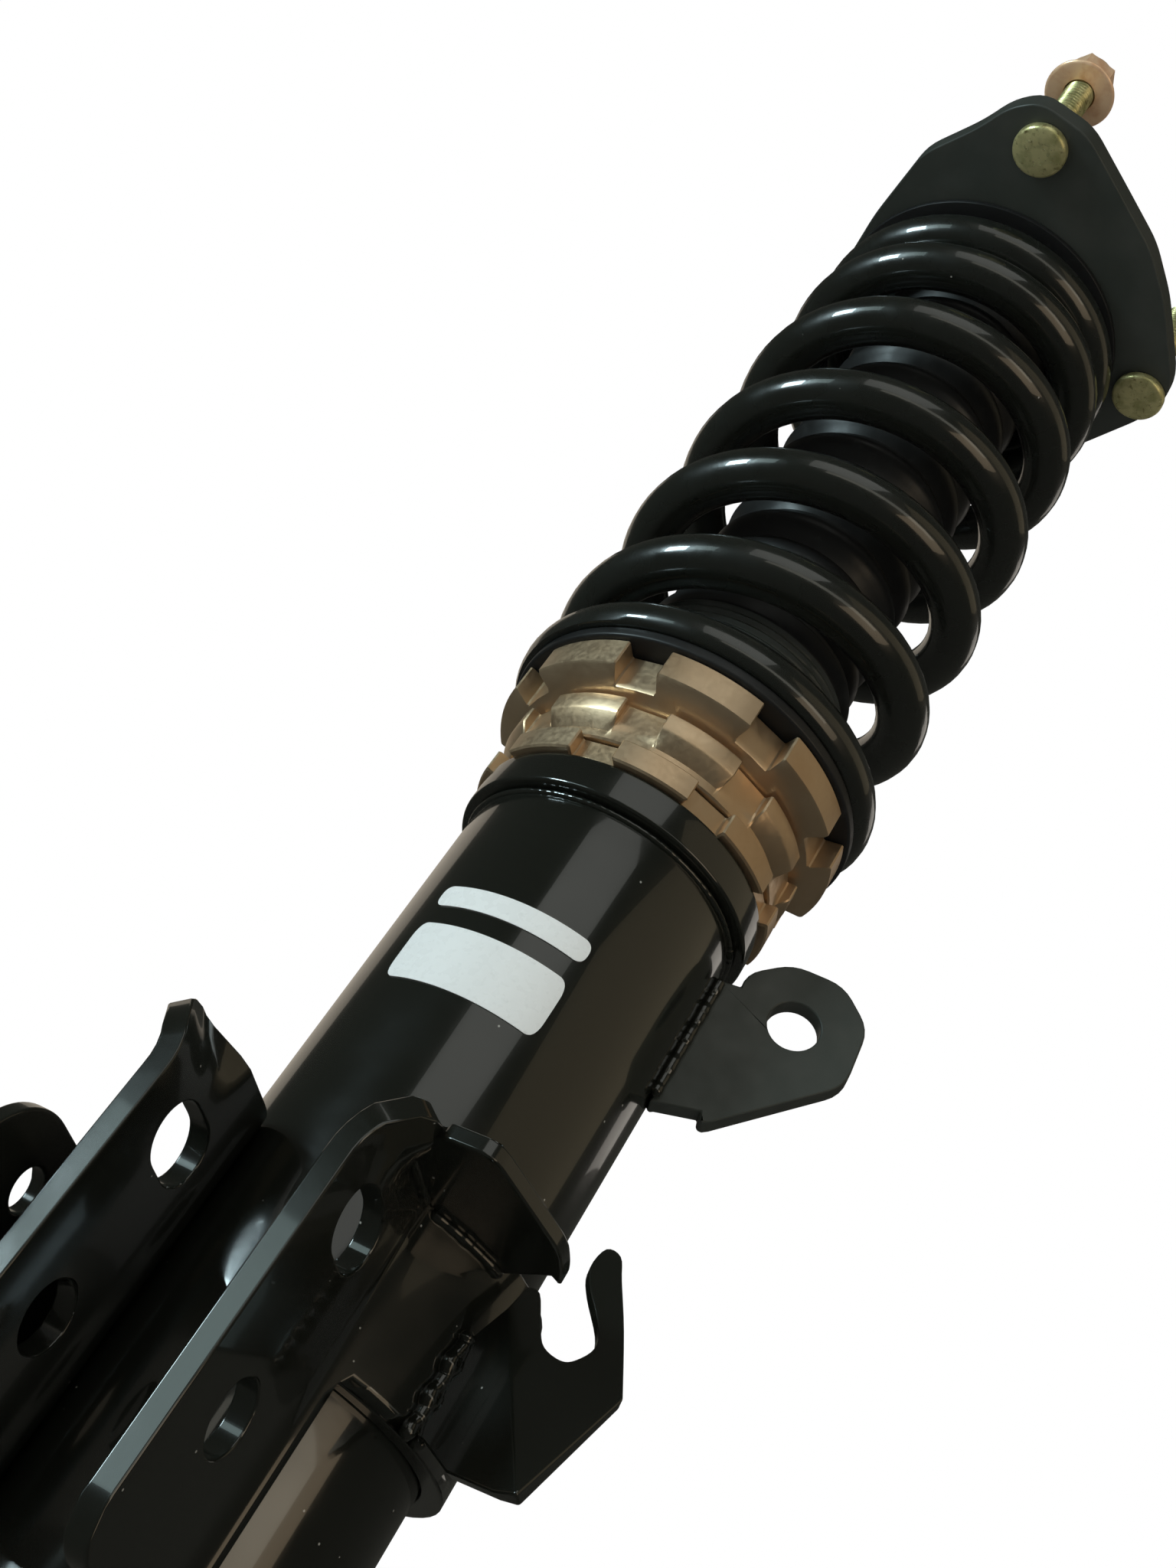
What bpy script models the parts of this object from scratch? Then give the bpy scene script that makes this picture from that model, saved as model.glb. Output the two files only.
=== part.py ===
"""Coilover strut: a threaded damper in a lower shell with its knuckle bracket, a coil spring and a pillow-ball top mount.

Lengths are in millimetres and are turned into metres as each mesh is made. The strut's axis is Z and its base stands
at Z = 0. X runs along the two knuckle bolts, and the knuckle bracket opens towards -Y.
"""

import math

import bmesh
import bpy
from mathutils import Matrix, Vector

MM = 0.001
GAP = 0.3  # clearance between neighbouring pieces

# Lower shell
TUBE_R = 30.65
TUBE_BORE_R = 27.2
TUBE_TOP = 168.0
BASE_CAP_H = 6.0
WELD_BEAD_R = 31.3
WELD_BEAD_H = 1.4
BOSS_R = 33.3
BOSS_TOP = 177.7

# Threaded damper body and the rings on it
THREAD_R = 26.5
BORE_R = 23.0
BODY_BASE = 12.0
BODY_FLOOR = 20.0
BODY_TOP = 236.0
RING_BORE_R = THREAD_R + GAP
SHELL_RING = {"r": 34.7, "low": 178.0, "high": 183.8, "notch_floor": 31.2, "phase": -5.5}
LOCK_RING = {"r": 35.05, "low": 184.1, "high": 194.3, "notch_floor": 32.2, "phase": 3.0}
PERCH = {"r": 40.2, "low": 194.6, "high": 205.0, "notch_floor": 35.3, "phase": -4.1}
NOTCHES = 8
NOTCH_WIDTH = 9.5
LOCK_RING_CHAMFER = (32.2, 186.4, 189.8)  # core radius, lower height, upper height
PERCH_CONE_TOP = 197.7
PERCH_HUB_R = 31.4
PERCH_SPIGOT_R = 30.3
PERCH_SPIGOT_TOP = 213.0

# Spring and its seats
SPRING_ID = 62.0
WIRE_D = 12.0
SPRING_BASE = 208.3  # both ends are ground flat
SPRING_TOP = 388.0
SPRING_TURNS = 7.0
SPRING_PHASE = 110.0  # where the lower end points, an angle in degrees
SPRING_START = 209.6  # height of the wire's centre at the lower end
SPRING_PITCH = 32.6
LOW_END = {"pitch": 5.0, "closed": 0.52, "ease": 0.4}  # closed and ease are in turns
HIGH_END = {"pitch": 12.6, "closed": 0.64, "ease": 2.0}
SPRING_TAPER = {"start": 4.2, "turns": 2.3, "drop": 2.0}  # the top coils are a little smaller
SEAT_INNER_R = 30.6
SEAT_OUTER_R = 41.0
UPPER_SEAT_OUTER_R = 39.6

# Damper internals
ROD_R = 11.0
ROD_STUD_R = 7.0
ROD_SHOULDER = 385.0
ROD_TOP = 433.0
ROD_PISTON_SEAT = 196.0
ROD_TAIL_R = 6.0
ROD_TAIL_BASE = 170.0
NEEDLE_BORE_R = 3.2
NEEDLE_R = 2.6
PISTON_R = 22.5
PISTON_TOP = 193.0
PISTON_H = 13.0
SHIM_R = 17.5
SHIM_H = 2.0
FLOATING_PISTON_BASE = 84.0
FLOATING_PISTON_H = 14.0
GUIDE_LOW = 212.0
GUIDE_HIGH = 231.0
CAP_R = 25.8
CAP_TOP = 244.5

# Boot and bump stop
BOOT_R = 24.3
BOOT_VALLEY_R = 21.6
BOOT_WALL = 1.2
BOOT_TOP = 382.0
BOOT_RIBS = 13
BUMP_BASE = 338.0
BUMP_TOP = 379.0
BUMP_R = 19.0

# Top mount
PLATE_LOW = 390.0
PLATE_H = 5.5
HOUSING_R = 25.0
HOUSING_FLANGE_R = 28.4
HOUSING_TOP = 405.0
RACE_R = 18.0
BALL_R = 14.0
BALL_Z = 396.0
BALL_HALF_H = 7.0
STUD_PLACES = ((58.5, -76.6), (48.2, 9.7), (54.5, 147.6))  # radius, angle in degrees
STUD_R = 3.9
STUD_HEAD_R = 7.0
STUD_HEAD_H = 3.0
STUD_TOP = 430.0
NUT_BASE = 418.5
NUT_H = 9.5
NUT_FLANGE_R = 9.3
NUT_AF = 13.0
TOP_NUT_AF = 22.0
TOP_NUT_LOW = 412.0
TOP_NUT_HIGH = 423.0
KNOB_R = 9.0
KNOB_TOP = 447.0

# Knuckle bracket
FLANGE_GAP = 30.0
FLANGE_T = 4.2
BRACKET_FRONT = -64.0
BRACKET_LOW = 6.0
BRACKET_HIGH = 84.0
WRAP_R = 35.0
WRAP_LOW = 50.0
WRAP_BAND = (-52.0, 200.0)  # angles between which the wrap is only a band above WRAP_LOW
BOLT_Y = -47.0
BOLT_R = 6.0
UPPER_BOLT_Z = 66.0
LOWER_BOLT_Z = 33.5
SLOT_LENGTH = 16.0
LIP_REACH = 5.0
GUSSET_T = 3.0

# Side brackets on the shell
LINK_TAB_AZ = 12.6
LINK_TAB_T = 4.5
LINK_HOLE = (48.2, 162.4)
LINK_HOLE_R = 5.4
HOSE_AZ = -25.4
HOSE_T = 2.6
HOSE_FOLD_DEG = 45.0
SIDE_TAB_X = -27.5
SIDE_TAB_T = 3.0
SIDE_TAB_END = (-59.5, 42.0)
SIDE_TAB_R = 14.5
SIDE_TAB_HOLE = (-56.0, 46.0)
SIDE_TAB_HOLE_R = 3.7

ROUND = 48  # facets round a large piece
SMALL_ROUND = 32


# Outlines, in millimetres

def arc(centre, radius, start, end, steps):
    """Points on an arc from one angle to another, in degrees, both ends included."""
    angles = [math.radians(start + (end - start) * k / steps) for k in range(steps + 1)]
    return [(centre[0] + radius * math.cos(a), centre[1] + radius * math.sin(a)) for a in angles]


def circle(centre, radius, steps=24):
    return arc(centre, radius, 0, 360, steps)[:-1]


def rounded(points, radius, steps=3):
    """A closed outline whose corners are eased by short curves that start a radius from each corner."""
    corners = [Vector(p) for p in points]
    out = []
    for before, corner, after in zip(corners[-1:] + corners[:-1], corners, corners[1:] + corners[:1]):
        reach_in = min(radius, (before - corner).length * 0.45)
        reach_out = min(radius, (after - corner).length * 0.45)
        start = corner + (before - corner).normalized() * reach_in
        end = corner + (after - corner).normalized() * reach_out
        for k in range(steps + 1):
            t = k / steps
            point = start * (1 - t) ** 2 + corner * 2 * t * (1 - t) + end * t ** 2
            out.append((point.x, point.y))
    return out


def hexagon(across_flats):
    return circle((0, 0), across_flats / 2 / math.cos(math.radians(30)), 6)


# Meshes

def turned(profile, segments=ROUND):
    """A profile of (radius, height) points turned about Z and closed on itself or on the axis."""
    bm = bmesh.new()
    rings = []
    for radius, height in profile:
        count = segments if radius > 0 else 1
        turns = [math.tau * k / segments for k in range(count)]
        rings.append([bm.verts.new((radius * math.cos(a), radius * math.sin(a), height)) for a in turns])
    if profile[0][0] > 0:
        rings.append(rings[0])
    for lower, upper in zip(rings, rings[1:]):
        for k in range(segments):
            n = (k + 1) % segments
            corners = (lower[k % len(lower)], lower[n % len(lower)], upper[n % len(upper)], upper[k % len(upper)])
            face = list(dict.fromkeys(corners))
            if len(face) > 2:
                bm.faces.new(face)
    return bm


def slab(outline, low, high, holes=()):
    """A flat plate between two heights, with its outline and holes drawn in XY."""
    bm = bmesh.new()
    edges = []
    for loop in (outline, *holes):
        verts = [bm.verts.new((x, y, low)) for x, y in loop]
        edges += [bm.edges.new(pair) for pair in zip(verts, verts[1:] + verts[:1])]
    bmesh.ops.triangle_fill(bm, use_beauty=True, edges=edges)
    grown = bmesh.ops.extrude_face_region(bm, geom=bm.faces[:], use_keep_orig=True)
    risen = [item for item in grown["geom"] if isinstance(item, bmesh.types.BMVert)]
    bmesh.ops.translate(bm, vec=(0, 0, high - low), verts=risen)
    return bm


def radial_frame(azimuth):
    """Turns drawing axes X, Y, Z into outwards, up and sideways at an angle round the strut."""
    a = math.radians(azimuth)
    outwards = Vector((math.cos(a), math.sin(a), 0))
    sideways = Vector((math.sin(a), -math.cos(a), 0))
    return Matrix((outwards, Vector((0, 0, 1)), sideways)).transposed().to_4x4()


def along_x_frame():
    """Turns drawing axes X, Y, Z into Y, Z and X."""
    return Matrix(((0, 0, 1), (1, 0, 0), (0, 1, 0))).to_4x4()


def material(name, colour, roughness, metallic):
    mat = bpy.data.materials.new(name)
    mat.use_nodes = True
    shader = mat.node_tree.nodes["Principled BSDF"]
    shader.inputs["Base Color"].default_value = (*colour, 1)
    shader.inputs["Roughness"].default_value = roughness
    shader.inputs["Metallic"].default_value = metallic
    return mat


def add(name, bm, mat, parent=None):
    """Makes one object of a mesh drawn in millimetres."""
    bmesh.ops.recalc_face_normals(bm, faces=bm.faces[:])
    bmesh.ops.scale(bm, vec=(MM, MM, MM), verts=bm.verts[:])
    mesh = bpy.data.meshes.new(name)
    bm.to_mesh(mesh)
    bm.free()
    mesh.shade_smooth()
    mesh.set_sharp_from_angle(angle=math.radians(35))
    obj = bpy.data.objects.new(name, mesh)
    bpy.context.collection.objects.link(obj)
    obj.parent = parent
    if mat:
        mesh.materials.append(mat)
    return obj


def combine(target, tool, operation):
    """A Boolean of two objects, whose tool is only a guide."""
    tool.hide_render = True
    tool.display_type = "WIRE"
    modifier = target.modifiers.new(tool.name, "BOOLEAN")
    modifier.operation = operation
    modifier.object = tool


def moved(bm, matrix):
    bmesh.ops.transform(bm, matrix=matrix, verts=bm.verts[:])
    return bm


def assembly(name):
    """An empty on the strut's axis that carries one moving group."""
    empty = bpy.data.objects.new(name, None)
    bpy.context.collection.objects.link(empty)
    return empty


# Sub-parts

def make_shell(body, paint):
    bead_mid = TUBE_TOP + WELD_BEAD_H / 2
    tube = [(TUBE_BORE_R, 0), (TUBE_R - 1.5, 0), (TUBE_R, 1.5), (TUBE_R, TUBE_TOP), (WELD_BEAD_R, bead_mid - 0.3)]
    tube += [(WELD_BEAD_R, bead_mid + 0.3), (TUBE_R, TUBE_TOP + WELD_BEAD_H), (TUBE_BORE_R, TUBE_TOP + WELD_BEAD_H)]
    add("lower_shell_tube", turned(tube), paint, body)
    cap_r = TUBE_BORE_R - GAP
    add("shell_base_cap", turned([(0, 0), (cap_r, 0), (cap_r, BASE_CAP_H), (0, BASE_CAP_H)]), paint, body)
    low = TUBE_TOP + WELD_BEAD_H + GAP
    boss = [(RING_BORE_R, low), (BOSS_R, low), (BOSS_R, BOSS_TOP - 0.8), (BOSS_R - 0.8, BOSS_TOP), (RING_BORE_R, BOSS_TOP)]
    add("shell_threaded_boss", turned(boss), paint, body)


def bracket_outline():
    """The bracket seen along the strut: two flanges and the wrap that joins them behind the tube."""
    inner = FLANGE_GAP / 2
    outer = inner + FLANGE_T
    seat_r = TUBE_R + GAP
    inner_angle = math.degrees(math.acos(inner / seat_r))
    outer_angle = math.degrees(math.acos(outer / WRAP_R))
    inside = arc((0, 0), seat_r, -inner_angle, 180 + inner_angle, 36)
    outside = arc((0, 0), WRAP_R, 180 + outer_angle, -outer_angle, 36)
    front = BRACKET_FRONT
    return [(inner, front), *inside, (-inner, front), (-outer, front), *outside, (outer, front)]


def make_bracket(body, paint):
    bracket = add("knuckle_bracket", slab(bracket_outline(), BRACKET_LOW, BRACKET_HIGH), paint, body)
    reach = FLANGE_GAP / 2 + FLANGE_T + 10
    half = SLOT_LENGTH / 2 - BOLT_R
    back = arc((BOLT_Y + half, UPPER_BOLT_Z), BOLT_R, -90, 90, 10)
    slot = back + arc((BOLT_Y - half, UPPER_BOLT_Z), BOLT_R, 90, 270, 10)
    holes = {"upper_bolt_slot": slot, "lower_bolt_hole": circle((BOLT_Y, LOWER_BOLT_Z), BOLT_R)}
    for name, outline in holes.items():
        cutter = add(name, moved(slab(outline, -reach, reach), along_x_frame()), None, body)
        combine(bracket, cutter, "DIFFERENCE")
    front, high = BRACKET_FRONT, BRACKET_HIGH
    slope = [(front - 5, high - 11), (front, high - 6.5), (front + 2.5, high - 2.5), (front + 6, high - 0.6)]
    slope += [(front + 9, high), (front + 9, high + 5), (front - 5, high + 5)]
    cutter = add("flange_top_corner", moved(slab(slope, -reach, reach), along_x_frame()), None, body)
    combine(bracket, cutter, "DIFFERENCE")
    start, end = WRAP_BAND
    opening = arc((0, 0), WRAP_R + 5, start, end, 24) + arc((0, 0), TUBE_R + GAP / 2, end, start, 48)
    cutter = add("wrap_opening", slab(opening, BRACKET_LOW - 1, WRAP_LOW), None, body)
    combine(bracket, cutter, "DIFFERENCE")
    for side, name in ((1, "right_lip"), (-1, "left_lip")):
        root = side * (FLANGE_GAP / 2 + FLANGE_T - 2.5)
        tip = side * (FLANGE_GAP / 2 + FLANGE_T + LIP_REACH)
        outline = [(root, BRACKET_FRONT + 0.4), (tip, BRACKET_FRONT + 0.4), (tip, BRACKET_FRONT + 2.9)]
        outline.append((root, BRACKET_FRONT + 5.5))
        lip = add(name, slab(outline, BRACKET_HIGH - 19, BRACKET_HIGH - 6), None, body)
        combine(bracket, lip, "UNION")


def make_gusset(body, paint):
    seat = WRAP_R + GAP
    side = FLANGE_GAP / 2 + FLANGE_T + GAP
    start = -math.degrees(math.acos(side / seat))
    outer = rounded([(25, -57), (36, -57.5), (44.5, -34.5), (44, -27), (43, -24)], 5)
    outline = [(side, -52), *outer[1:], *arc((0, 0), seat, -30, start, 8)]
    add("gusset_plate", slab(outline, BRACKET_HIGH - GUSSET_T, BRACKET_HIGH), paint, body)


def make_link_tab(body, dark):
    """A radial ear with one hole, for the stabiliser link's ball joint."""
    foot = TUBE_R + GAP
    nose = rounded([(34.6, 168.3), (42.1, 175.4), (53.2, 176.4), (61.4, 169.8), (62.5, 155.6), (40.9, 132.4)], 4, 4)
    outline = [(foot, 132.6), (foot, 164), *nose]
    plate = slab(outline, -LINK_TAB_T / 2, LINK_TAB_T / 2, [circle(LINK_HOLE, LINK_HOLE_R)])
    add("link_tab", moved(plate, radial_frame(LINK_TAB_AZ)), dark, body)


def make_hose_bracket(body, paint):
    """A folded sheet: a base plate on the wrap and, past a diagonal fold, a plate with an open hook for a hose."""
    top = Vector((39.4, 75.3, 0))
    toe = Vector((61.0, 47.4, 0))
    along = (toe - top).normalized()
    across = Vector((-along.y, along.x, 0))
    fold = math.radians(HOSE_FOLD_DEG)
    lifted = across * math.cos(fold) + Vector((0, 0, -1)) * math.sin(fold)
    foot = WRAP_R + GAP + 0.4
    base = [(foot, 68), (foot, 52), (39.3, 50.8), (46.5, 47.6), (56.9, 47.0)]
    prongs = [(15, 18.1), (1.0, 19.8), (-10, 20.6), (-15.7, 21), (-17, 18.4), (-12.3, 15.1), (-7.1, 14.6), (1, 15.3)]
    prongs += [(5.4, 14.2), (8.4, 10.8), (9.0, 8.2), (6.8, 5.6), (2.8, 5.3), (-4.4, 5.6), (-5.4, 3.4)]
    bm = bmesh.new()
    fold_top = bm.verts.new(top)
    fold_toe = bm.verts.new(toe)
    bm.faces.new([fold_top, *[bm.verts.new((x, y, 0)) for x, y in base], fold_toe])
    bm.faces.new([fold_toe, *[bm.verts.new(top + along * s + lifted * w) for s, w in prongs], fold_top])
    plate = add("hose_bracket", moved(bm, radial_frame(HOSE_AZ)), paint, body)
    solidify = plate.modifiers.new("Thickness", "SOLIDIFY")
    solidify.thickness = HOSE_T * MM
    solidify.offset = 0


def make_side_tab(body, paint):
    """An ear beside the left flange, with one small hole for a clip."""
    foot_y = -math.sqrt((WRAP_R + GAP) ** 2 - (SIDE_TAB_X - SIDE_TAB_T / 2) ** 2) - 3.5
    mid_z = SIDE_TAB_END[1]
    nose = arc(SIDE_TAB_END, SIDE_TAB_R, 90, 270, 12)
    outline = [(foot_y, mid_z - SIDE_TAB_R), (foot_y, mid_z + SIDE_TAB_R), *nose]
    low = SIDE_TAB_X - SIDE_TAB_T / 2
    plate = slab(outline, low, low + SIDE_TAB_T, [circle(SIDE_TAB_HOLE, SIDE_TAB_HOLE_R, 16)])
    add("side_tab", moved(plate, along_x_frame()), paint, body)


def ring_notches(name, ring, body):
    """Blocks that cut a ring's spanner notches, all in one guide."""
    bm = bmesh.new()
    depth = 12.0
    for k in range(NOTCHES):
        turn = Matrix.Rotation(math.radians(ring["phase"] + 360 / NOTCHES * k), 4, "Z")
        centre = Vector((ring["notch_floor"] + depth / 2, 0, (ring["low"] + ring["high"]) / 2))
        size = Matrix.Diagonal((depth, NOTCH_WIDTH, ring["high"] - ring["low"] + 6, 1))
        bmesh.ops.create_cube(bm, size=1, matrix=turn @ Matrix.Translation(centre) @ size)
    return add(name, bm, None, body)


def make_ring(name, ring, profile, metal, body):
    piece = add(name, turned(profile), metal, body)
    combine(piece, ring_notches(name + "_notches", ring, body), "DIFFERENCE")


def make_rings(shell, damper, metal, rubber):
    low, high, r = SHELL_RING["low"], SHELL_RING["high"], SHELL_RING["r"]
    profile = [(RING_BORE_R, low), (r - 0.7, low), (r, low + 0.7), (r, high - 0.7), (r - 0.7, high), (RING_BORE_R, high)]
    make_ring("shell_lock_ring", SHELL_RING, profile, metal, shell)
    low, high, r = LOCK_RING["low"], LOCK_RING["high"], LOCK_RING["r"]
    core_r, chamfer_low, chamfer_high = LOCK_RING_CHAMFER
    profile = [(RING_BORE_R, low), (core_r, low), (core_r, chamfer_low), (r, chamfer_high), (r, high - 0.7)]
    profile += [(r - 0.7, high), (RING_BORE_R, high)]
    make_ring("perch_lock_ring", LOCK_RING, profile, metal, damper)
    low, high, r = PERCH["low"], PERCH["high"], PERCH["r"]
    profile = [(RING_BORE_R, low), (PERCH_HUB_R, low), (r, PERCH_CONE_TOP), (r, high - 0.7), (r - 0.7, high)]
    profile += [(PERCH_SPIGOT_R, high), (PERCH_SPIGOT_R, PERCH_SPIGOT_TOP), (RING_BORE_R + 1, PERCH_SPIGOT_TOP)]
    make_ring("spring_perch", PERCH, profile + [(RING_BORE_R, PERCH_SPIGOT_TOP - 1)], metal, damper)
    low = PERCH["high"] + GAP
    seat = [(SEAT_INNER_R, low), (SEAT_OUTER_R, low), (SEAT_OUTER_R, SPRING_BASE - GAP), (SEAT_INNER_R, SPRING_BASE - GAP)]
    add("lower_spring_seat", turned(seat), rubber, damper)


def ease(x):
    """A smooth step from 0 to 1."""
    x = min(max(x, 0.0), 1.0)
    return x * x * (3 - 2 * x)


def risen(x):
    """The area under the smooth step, up to x."""
    return 0.0 if x < 0 else x - 0.5 if x > 1 else x ** 3 - x ** 4 / 2


def spring_height(turn):
    """Height of the wire's centre after a number of turns: a closed end, an even pitch, and a slowly closing end."""
    low, high = LOW_END, HIGH_END
    lift = (SPRING_PITCH - low["pitch"]) * low["ease"] * risen((turn - low["closed"]) / low["ease"])
    start = SPRING_TURNS - high["closed"] - high["ease"]
    slack = (SPRING_PITCH - high["pitch"]) * high["ease"] * risen((turn - start) / high["ease"])
    return SPRING_START + low["pitch"] * turn + lift - slack


def make_spring(body, paint):
    steps_per_turn, sides = 20, 8
    wire_r = WIRE_D / 2
    bm = bmesh.new()
    rings = []
    steps = round(SPRING_TURNS * steps_per_turn)
    for k in range(steps + 1):
        turn = k / steps_per_turn
        angle = math.radians(SPRING_PHASE) + math.tau * turn
        outwards = Vector((math.cos(angle), math.sin(angle), 0))
        taper = SPRING_TAPER["drop"] * ease((turn - SPRING_TAPER["start"]) / SPRING_TAPER["turns"])
        mean_r = (SPRING_ID + WIRE_D) / 2 - taper
        ring = []
        for j in range(sides):
            a = math.tau * j / sides
            point = outwards * (mean_r + wire_r * math.cos(a))
            point.z = min(max(spring_height(turn) + wire_r * math.sin(a), SPRING_BASE), SPRING_TOP)
            ring.append(bm.verts.new(point))
        rings.append(ring)
    for first, second in zip(rings, rings[1:]):
        for j in range(sides):
            n = (j + 1) % sides
            bm.faces.new((first[j], first[n], second[n], second[j]))
    bm.faces.new(rings[0])
    bm.faces.new(rings[-1])
    add("main_spring", bm, paint, body)


def make_damper(body, steel, dark, seal):
    base, floor = BODY_BASE, BODY_FLOOR
    tube = [(0, base), (THREAD_R - 1, base), (THREAD_R, base + 1), (THREAD_R, BODY_TOP), (BORE_R, BODY_TOP), (BORE_R, floor)]
    add("damper_body", turned(tube + [(0, floor)]), dark, body)
    guide_r = BORE_R - GAP
    rod_bore = ROD_R + GAP
    low, high = GUIDE_LOW, GUIDE_HIGH
    guide = [(rod_bore, low), (guide_r, low), (guide_r, high), (17.3, high), (17.3, high - 6), (rod_bore, high - 6)]
    add("rod_guide", turned(guide, SMALL_ROUND), steel, body)
    low, high = GUIDE_HIGH - 6 + GAP, GUIDE_HIGH
    add("rod_seal", turned([(rod_bore, low), (17, low), (17, high), (rod_bore, high)], SMALL_ROUND), seal, body)
    low = GUIDE_HIGH + GAP
    cap = [(rod_bore, low), (guide_r, low), (guide_r, BODY_TOP + GAP), (CAP_R, BODY_TOP + GAP), (CAP_R, CAP_TOP - 0.8)]
    add("gland_cap", turned(cap + [(CAP_R - 0.8, CAP_TOP), (rod_bore, CAP_TOP)]), seal, body)


def make_floating_piston(body, metal, seal):
    """The piston that parts the gas below from the oil above, with its seal ring in a groove."""
    r, base, top = BORE_R - GAP, FLOATING_PISTON_BASE, FLOATING_PISTON_BASE + FLOATING_PISTON_H
    groove_r = r - 2.5
    low, high = base + 5, base + 9
    outline = [(0, base + 5), (r - 7, base + 4), (r - 5, base), (r, base), (r, low), (groove_r, low), (groove_r, high)]
    add("floating_piston", turned(outline + [(r, high), (r, top), (0, top)], SMALL_ROUND), metal, body)
    low, high = low + GAP, high - GAP
    ring = [(groove_r + GAP, low), (r, low), (r, high), (groove_r + GAP, high)]
    add("floating_piston_seal", turned(ring, SMALL_ROUND), seal, body)


def make_rod(body, chrome, steel, metal, seal):
    tail, top = ROD_TAIL_BASE, ROD_TOP
    rod = [(NEEDLE_BORE_R, tail), (ROD_TAIL_R, tail), (ROD_TAIL_R, ROD_PISTON_SEAT), (ROD_R, ROD_PISTON_SEAT)]
    rod += [(ROD_R, ROD_SHOULDER), (ROD_STUD_R, ROD_SHOULDER), (ROD_STUD_R, top), (NEEDLE_BORE_R, top)]
    add("piston_rod", turned(rod, SMALL_ROUND), chrome, body)
    bore = ROD_TAIL_R + GAP
    low = PISTON_TOP - PISTON_H
    groove_r = PISTON_R - 2
    grooves = (low + 3, PISTON_TOP - 3)
    piston = [(bore, low), (PISTON_R, low), (PISTON_R, grooves[0]), (groove_r, grooves[0]), (groove_r, grooves[1])]
    piston += [(PISTON_R, grooves[1]), (PISTON_R, PISTON_TOP), (bore, PISTON_TOP)]
    add("piston", turned(piston, SMALL_ROUND), metal, body)
    inner, outer, low_edge, high_edge = groove_r + GAP, PISTON_R + 0.2, grooves[0] + GAP, grooves[1] - GAP
    band = [(inner, low_edge), (outer, low_edge), (outer, high_edge), (inner, high_edge)]
    add("piston_band", turned(band, SMALL_ROUND), seal, body)
    for name, start, rising in (("rebound_shims", low - GAP - SHIM_H, 1), ("compression_shims", PISTON_TOP + GAP, -1)):
        wide, narrow = (SHIM_R, SHIM_R - 5)[::rising], SHIM_H
        shims = [(bore, start), (wide[1], start), (wide[0], start + narrow), (bore, start + narrow)]
        add(name, turned(shims, SMALL_ROUND), steel, body)
    high = low - 2 * GAP - SHIM_H
    nut = slab(hexagon(17), high - 6.5, high, [circle((0, 0), bore, SMALL_ROUND)])
    add("piston_nut", nut, steel, body)


def make_boot(body, rubber):
    """A bellows from the gland cap up to the bump stop, drawn as a zigzag wall."""
    low = CAP_TOP + GAP
    step = (BOOT_TOP - low) / (2 * BOOT_RIBS)
    crests = [BOOT_R if k % 2 else BOOT_VALLEY_R for k in range(2 * BOOT_RIBS + 1)]
    outside = [(r, low + step * k) for k, r in enumerate(crests)]
    inside = [(r - BOOT_WALL, z) for r, z in outside]
    add("dust_boot", turned(outside + inside[::-1], 24), rubber, body)


def make_bump_stop(body, foam, steel):
    bore = ROD_R + GAP
    waist = (BUMP_BASE + BUMP_TOP) / 2
    outline = [(bore, BUMP_BASE), (13.5, BUMP_BASE), (16.5, BUMP_BASE + 7), (15, BUMP_BASE + 12), (BUMP_R - 1, waist - 3)]
    outline += [(BUMP_R - 2.4, waist + 2), (BUMP_R, waist + 9), (BUMP_R, BUMP_TOP), (bore, BUMP_TOP)]
    add("bump_stop", turned(outline, SMALL_ROUND), foam, body)
    low, high = BUMP_TOP + GAP, ROD_SHOULDER
    outline = [(bore, low), (20, low), (20, low + 2), (bore, high - 0.5)]
    add("bump_stop_washer", turned(outline, SMALL_ROUND), steel, body)


def make_ball_joint(rod, mount, steel, dark):
    """A spherical bearing: the ball is clamped on the rod, and the race sits in the plate's housing."""
    bore = ROD_STUD_R + GAP
    ball_low, ball_high = BALL_Z - BALL_HALF_H, BALL_Z + BALL_HALF_H
    spacer_r = 12.0
    low, high = ROD_SHOULDER + GAP, ball_low - GAP
    add("lower_spacer", turned([(bore, low), (11, low), (11, high), (bore, high)], SMALL_ROUND), steel, rod)
    edge = math.degrees(math.asin(BALL_HALF_H / BALL_R))
    ball = [(bore, ball_low), *arc((0, BALL_Z), BALL_R, -edge, edge, 8), (bore, ball_high)]
    add("pivot_ball", turned(ball, SMALL_ROUND), steel, rod)
    low, high = ball_high + GAP, TOP_NUT_LOW - GAP
    add("upper_spacer", turned([(bore, low), (spacer_r, low), (spacer_r, high), (bore, high)], SMALL_ROUND), steel, rod)
    half = 5.0
    inner_r = BALL_R + GAP
    edge = math.degrees(math.asin(half / inner_r))
    race = [*arc((0, BALL_Z), inner_r, -edge, edge, 8), (RACE_R, BALL_Z + half), (RACE_R, BALL_Z - half)]
    add("bearing_race", turned(race, SMALL_ROUND), steel, mount)
    low = BALL_Z + half + GAP
    add("bearing_circlip", circlip(low), dark, mount)
    low = BALL_Z - half - GAP
    bore = RACE_R + GAP
    high = PLATE_LOW - GAP
    housing = [(16, high - 3), (HOUSING_FLANGE_R, high - 3), (HOUSING_FLANGE_R, high), (HOUSING_R, high)]
    housing += [(HOUSING_R, HOUSING_TOP - 1), (HOUSING_R - 1, HOUSING_TOP)]
    housing += [(bore, HOUSING_TOP), (bore, low), (16, low)]
    add("bearing_housing", turned(housing), dark, mount)


def circlip(low):
    """An open retaining ring with a gap between its two ends."""
    outer = arc((0, 0), RACE_R, 20, 340, 28)
    inner = arc((0, 0), RACE_R - 2, 340, 20, 28)
    return slab(outer + inner, low, low + 1.2)


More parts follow.
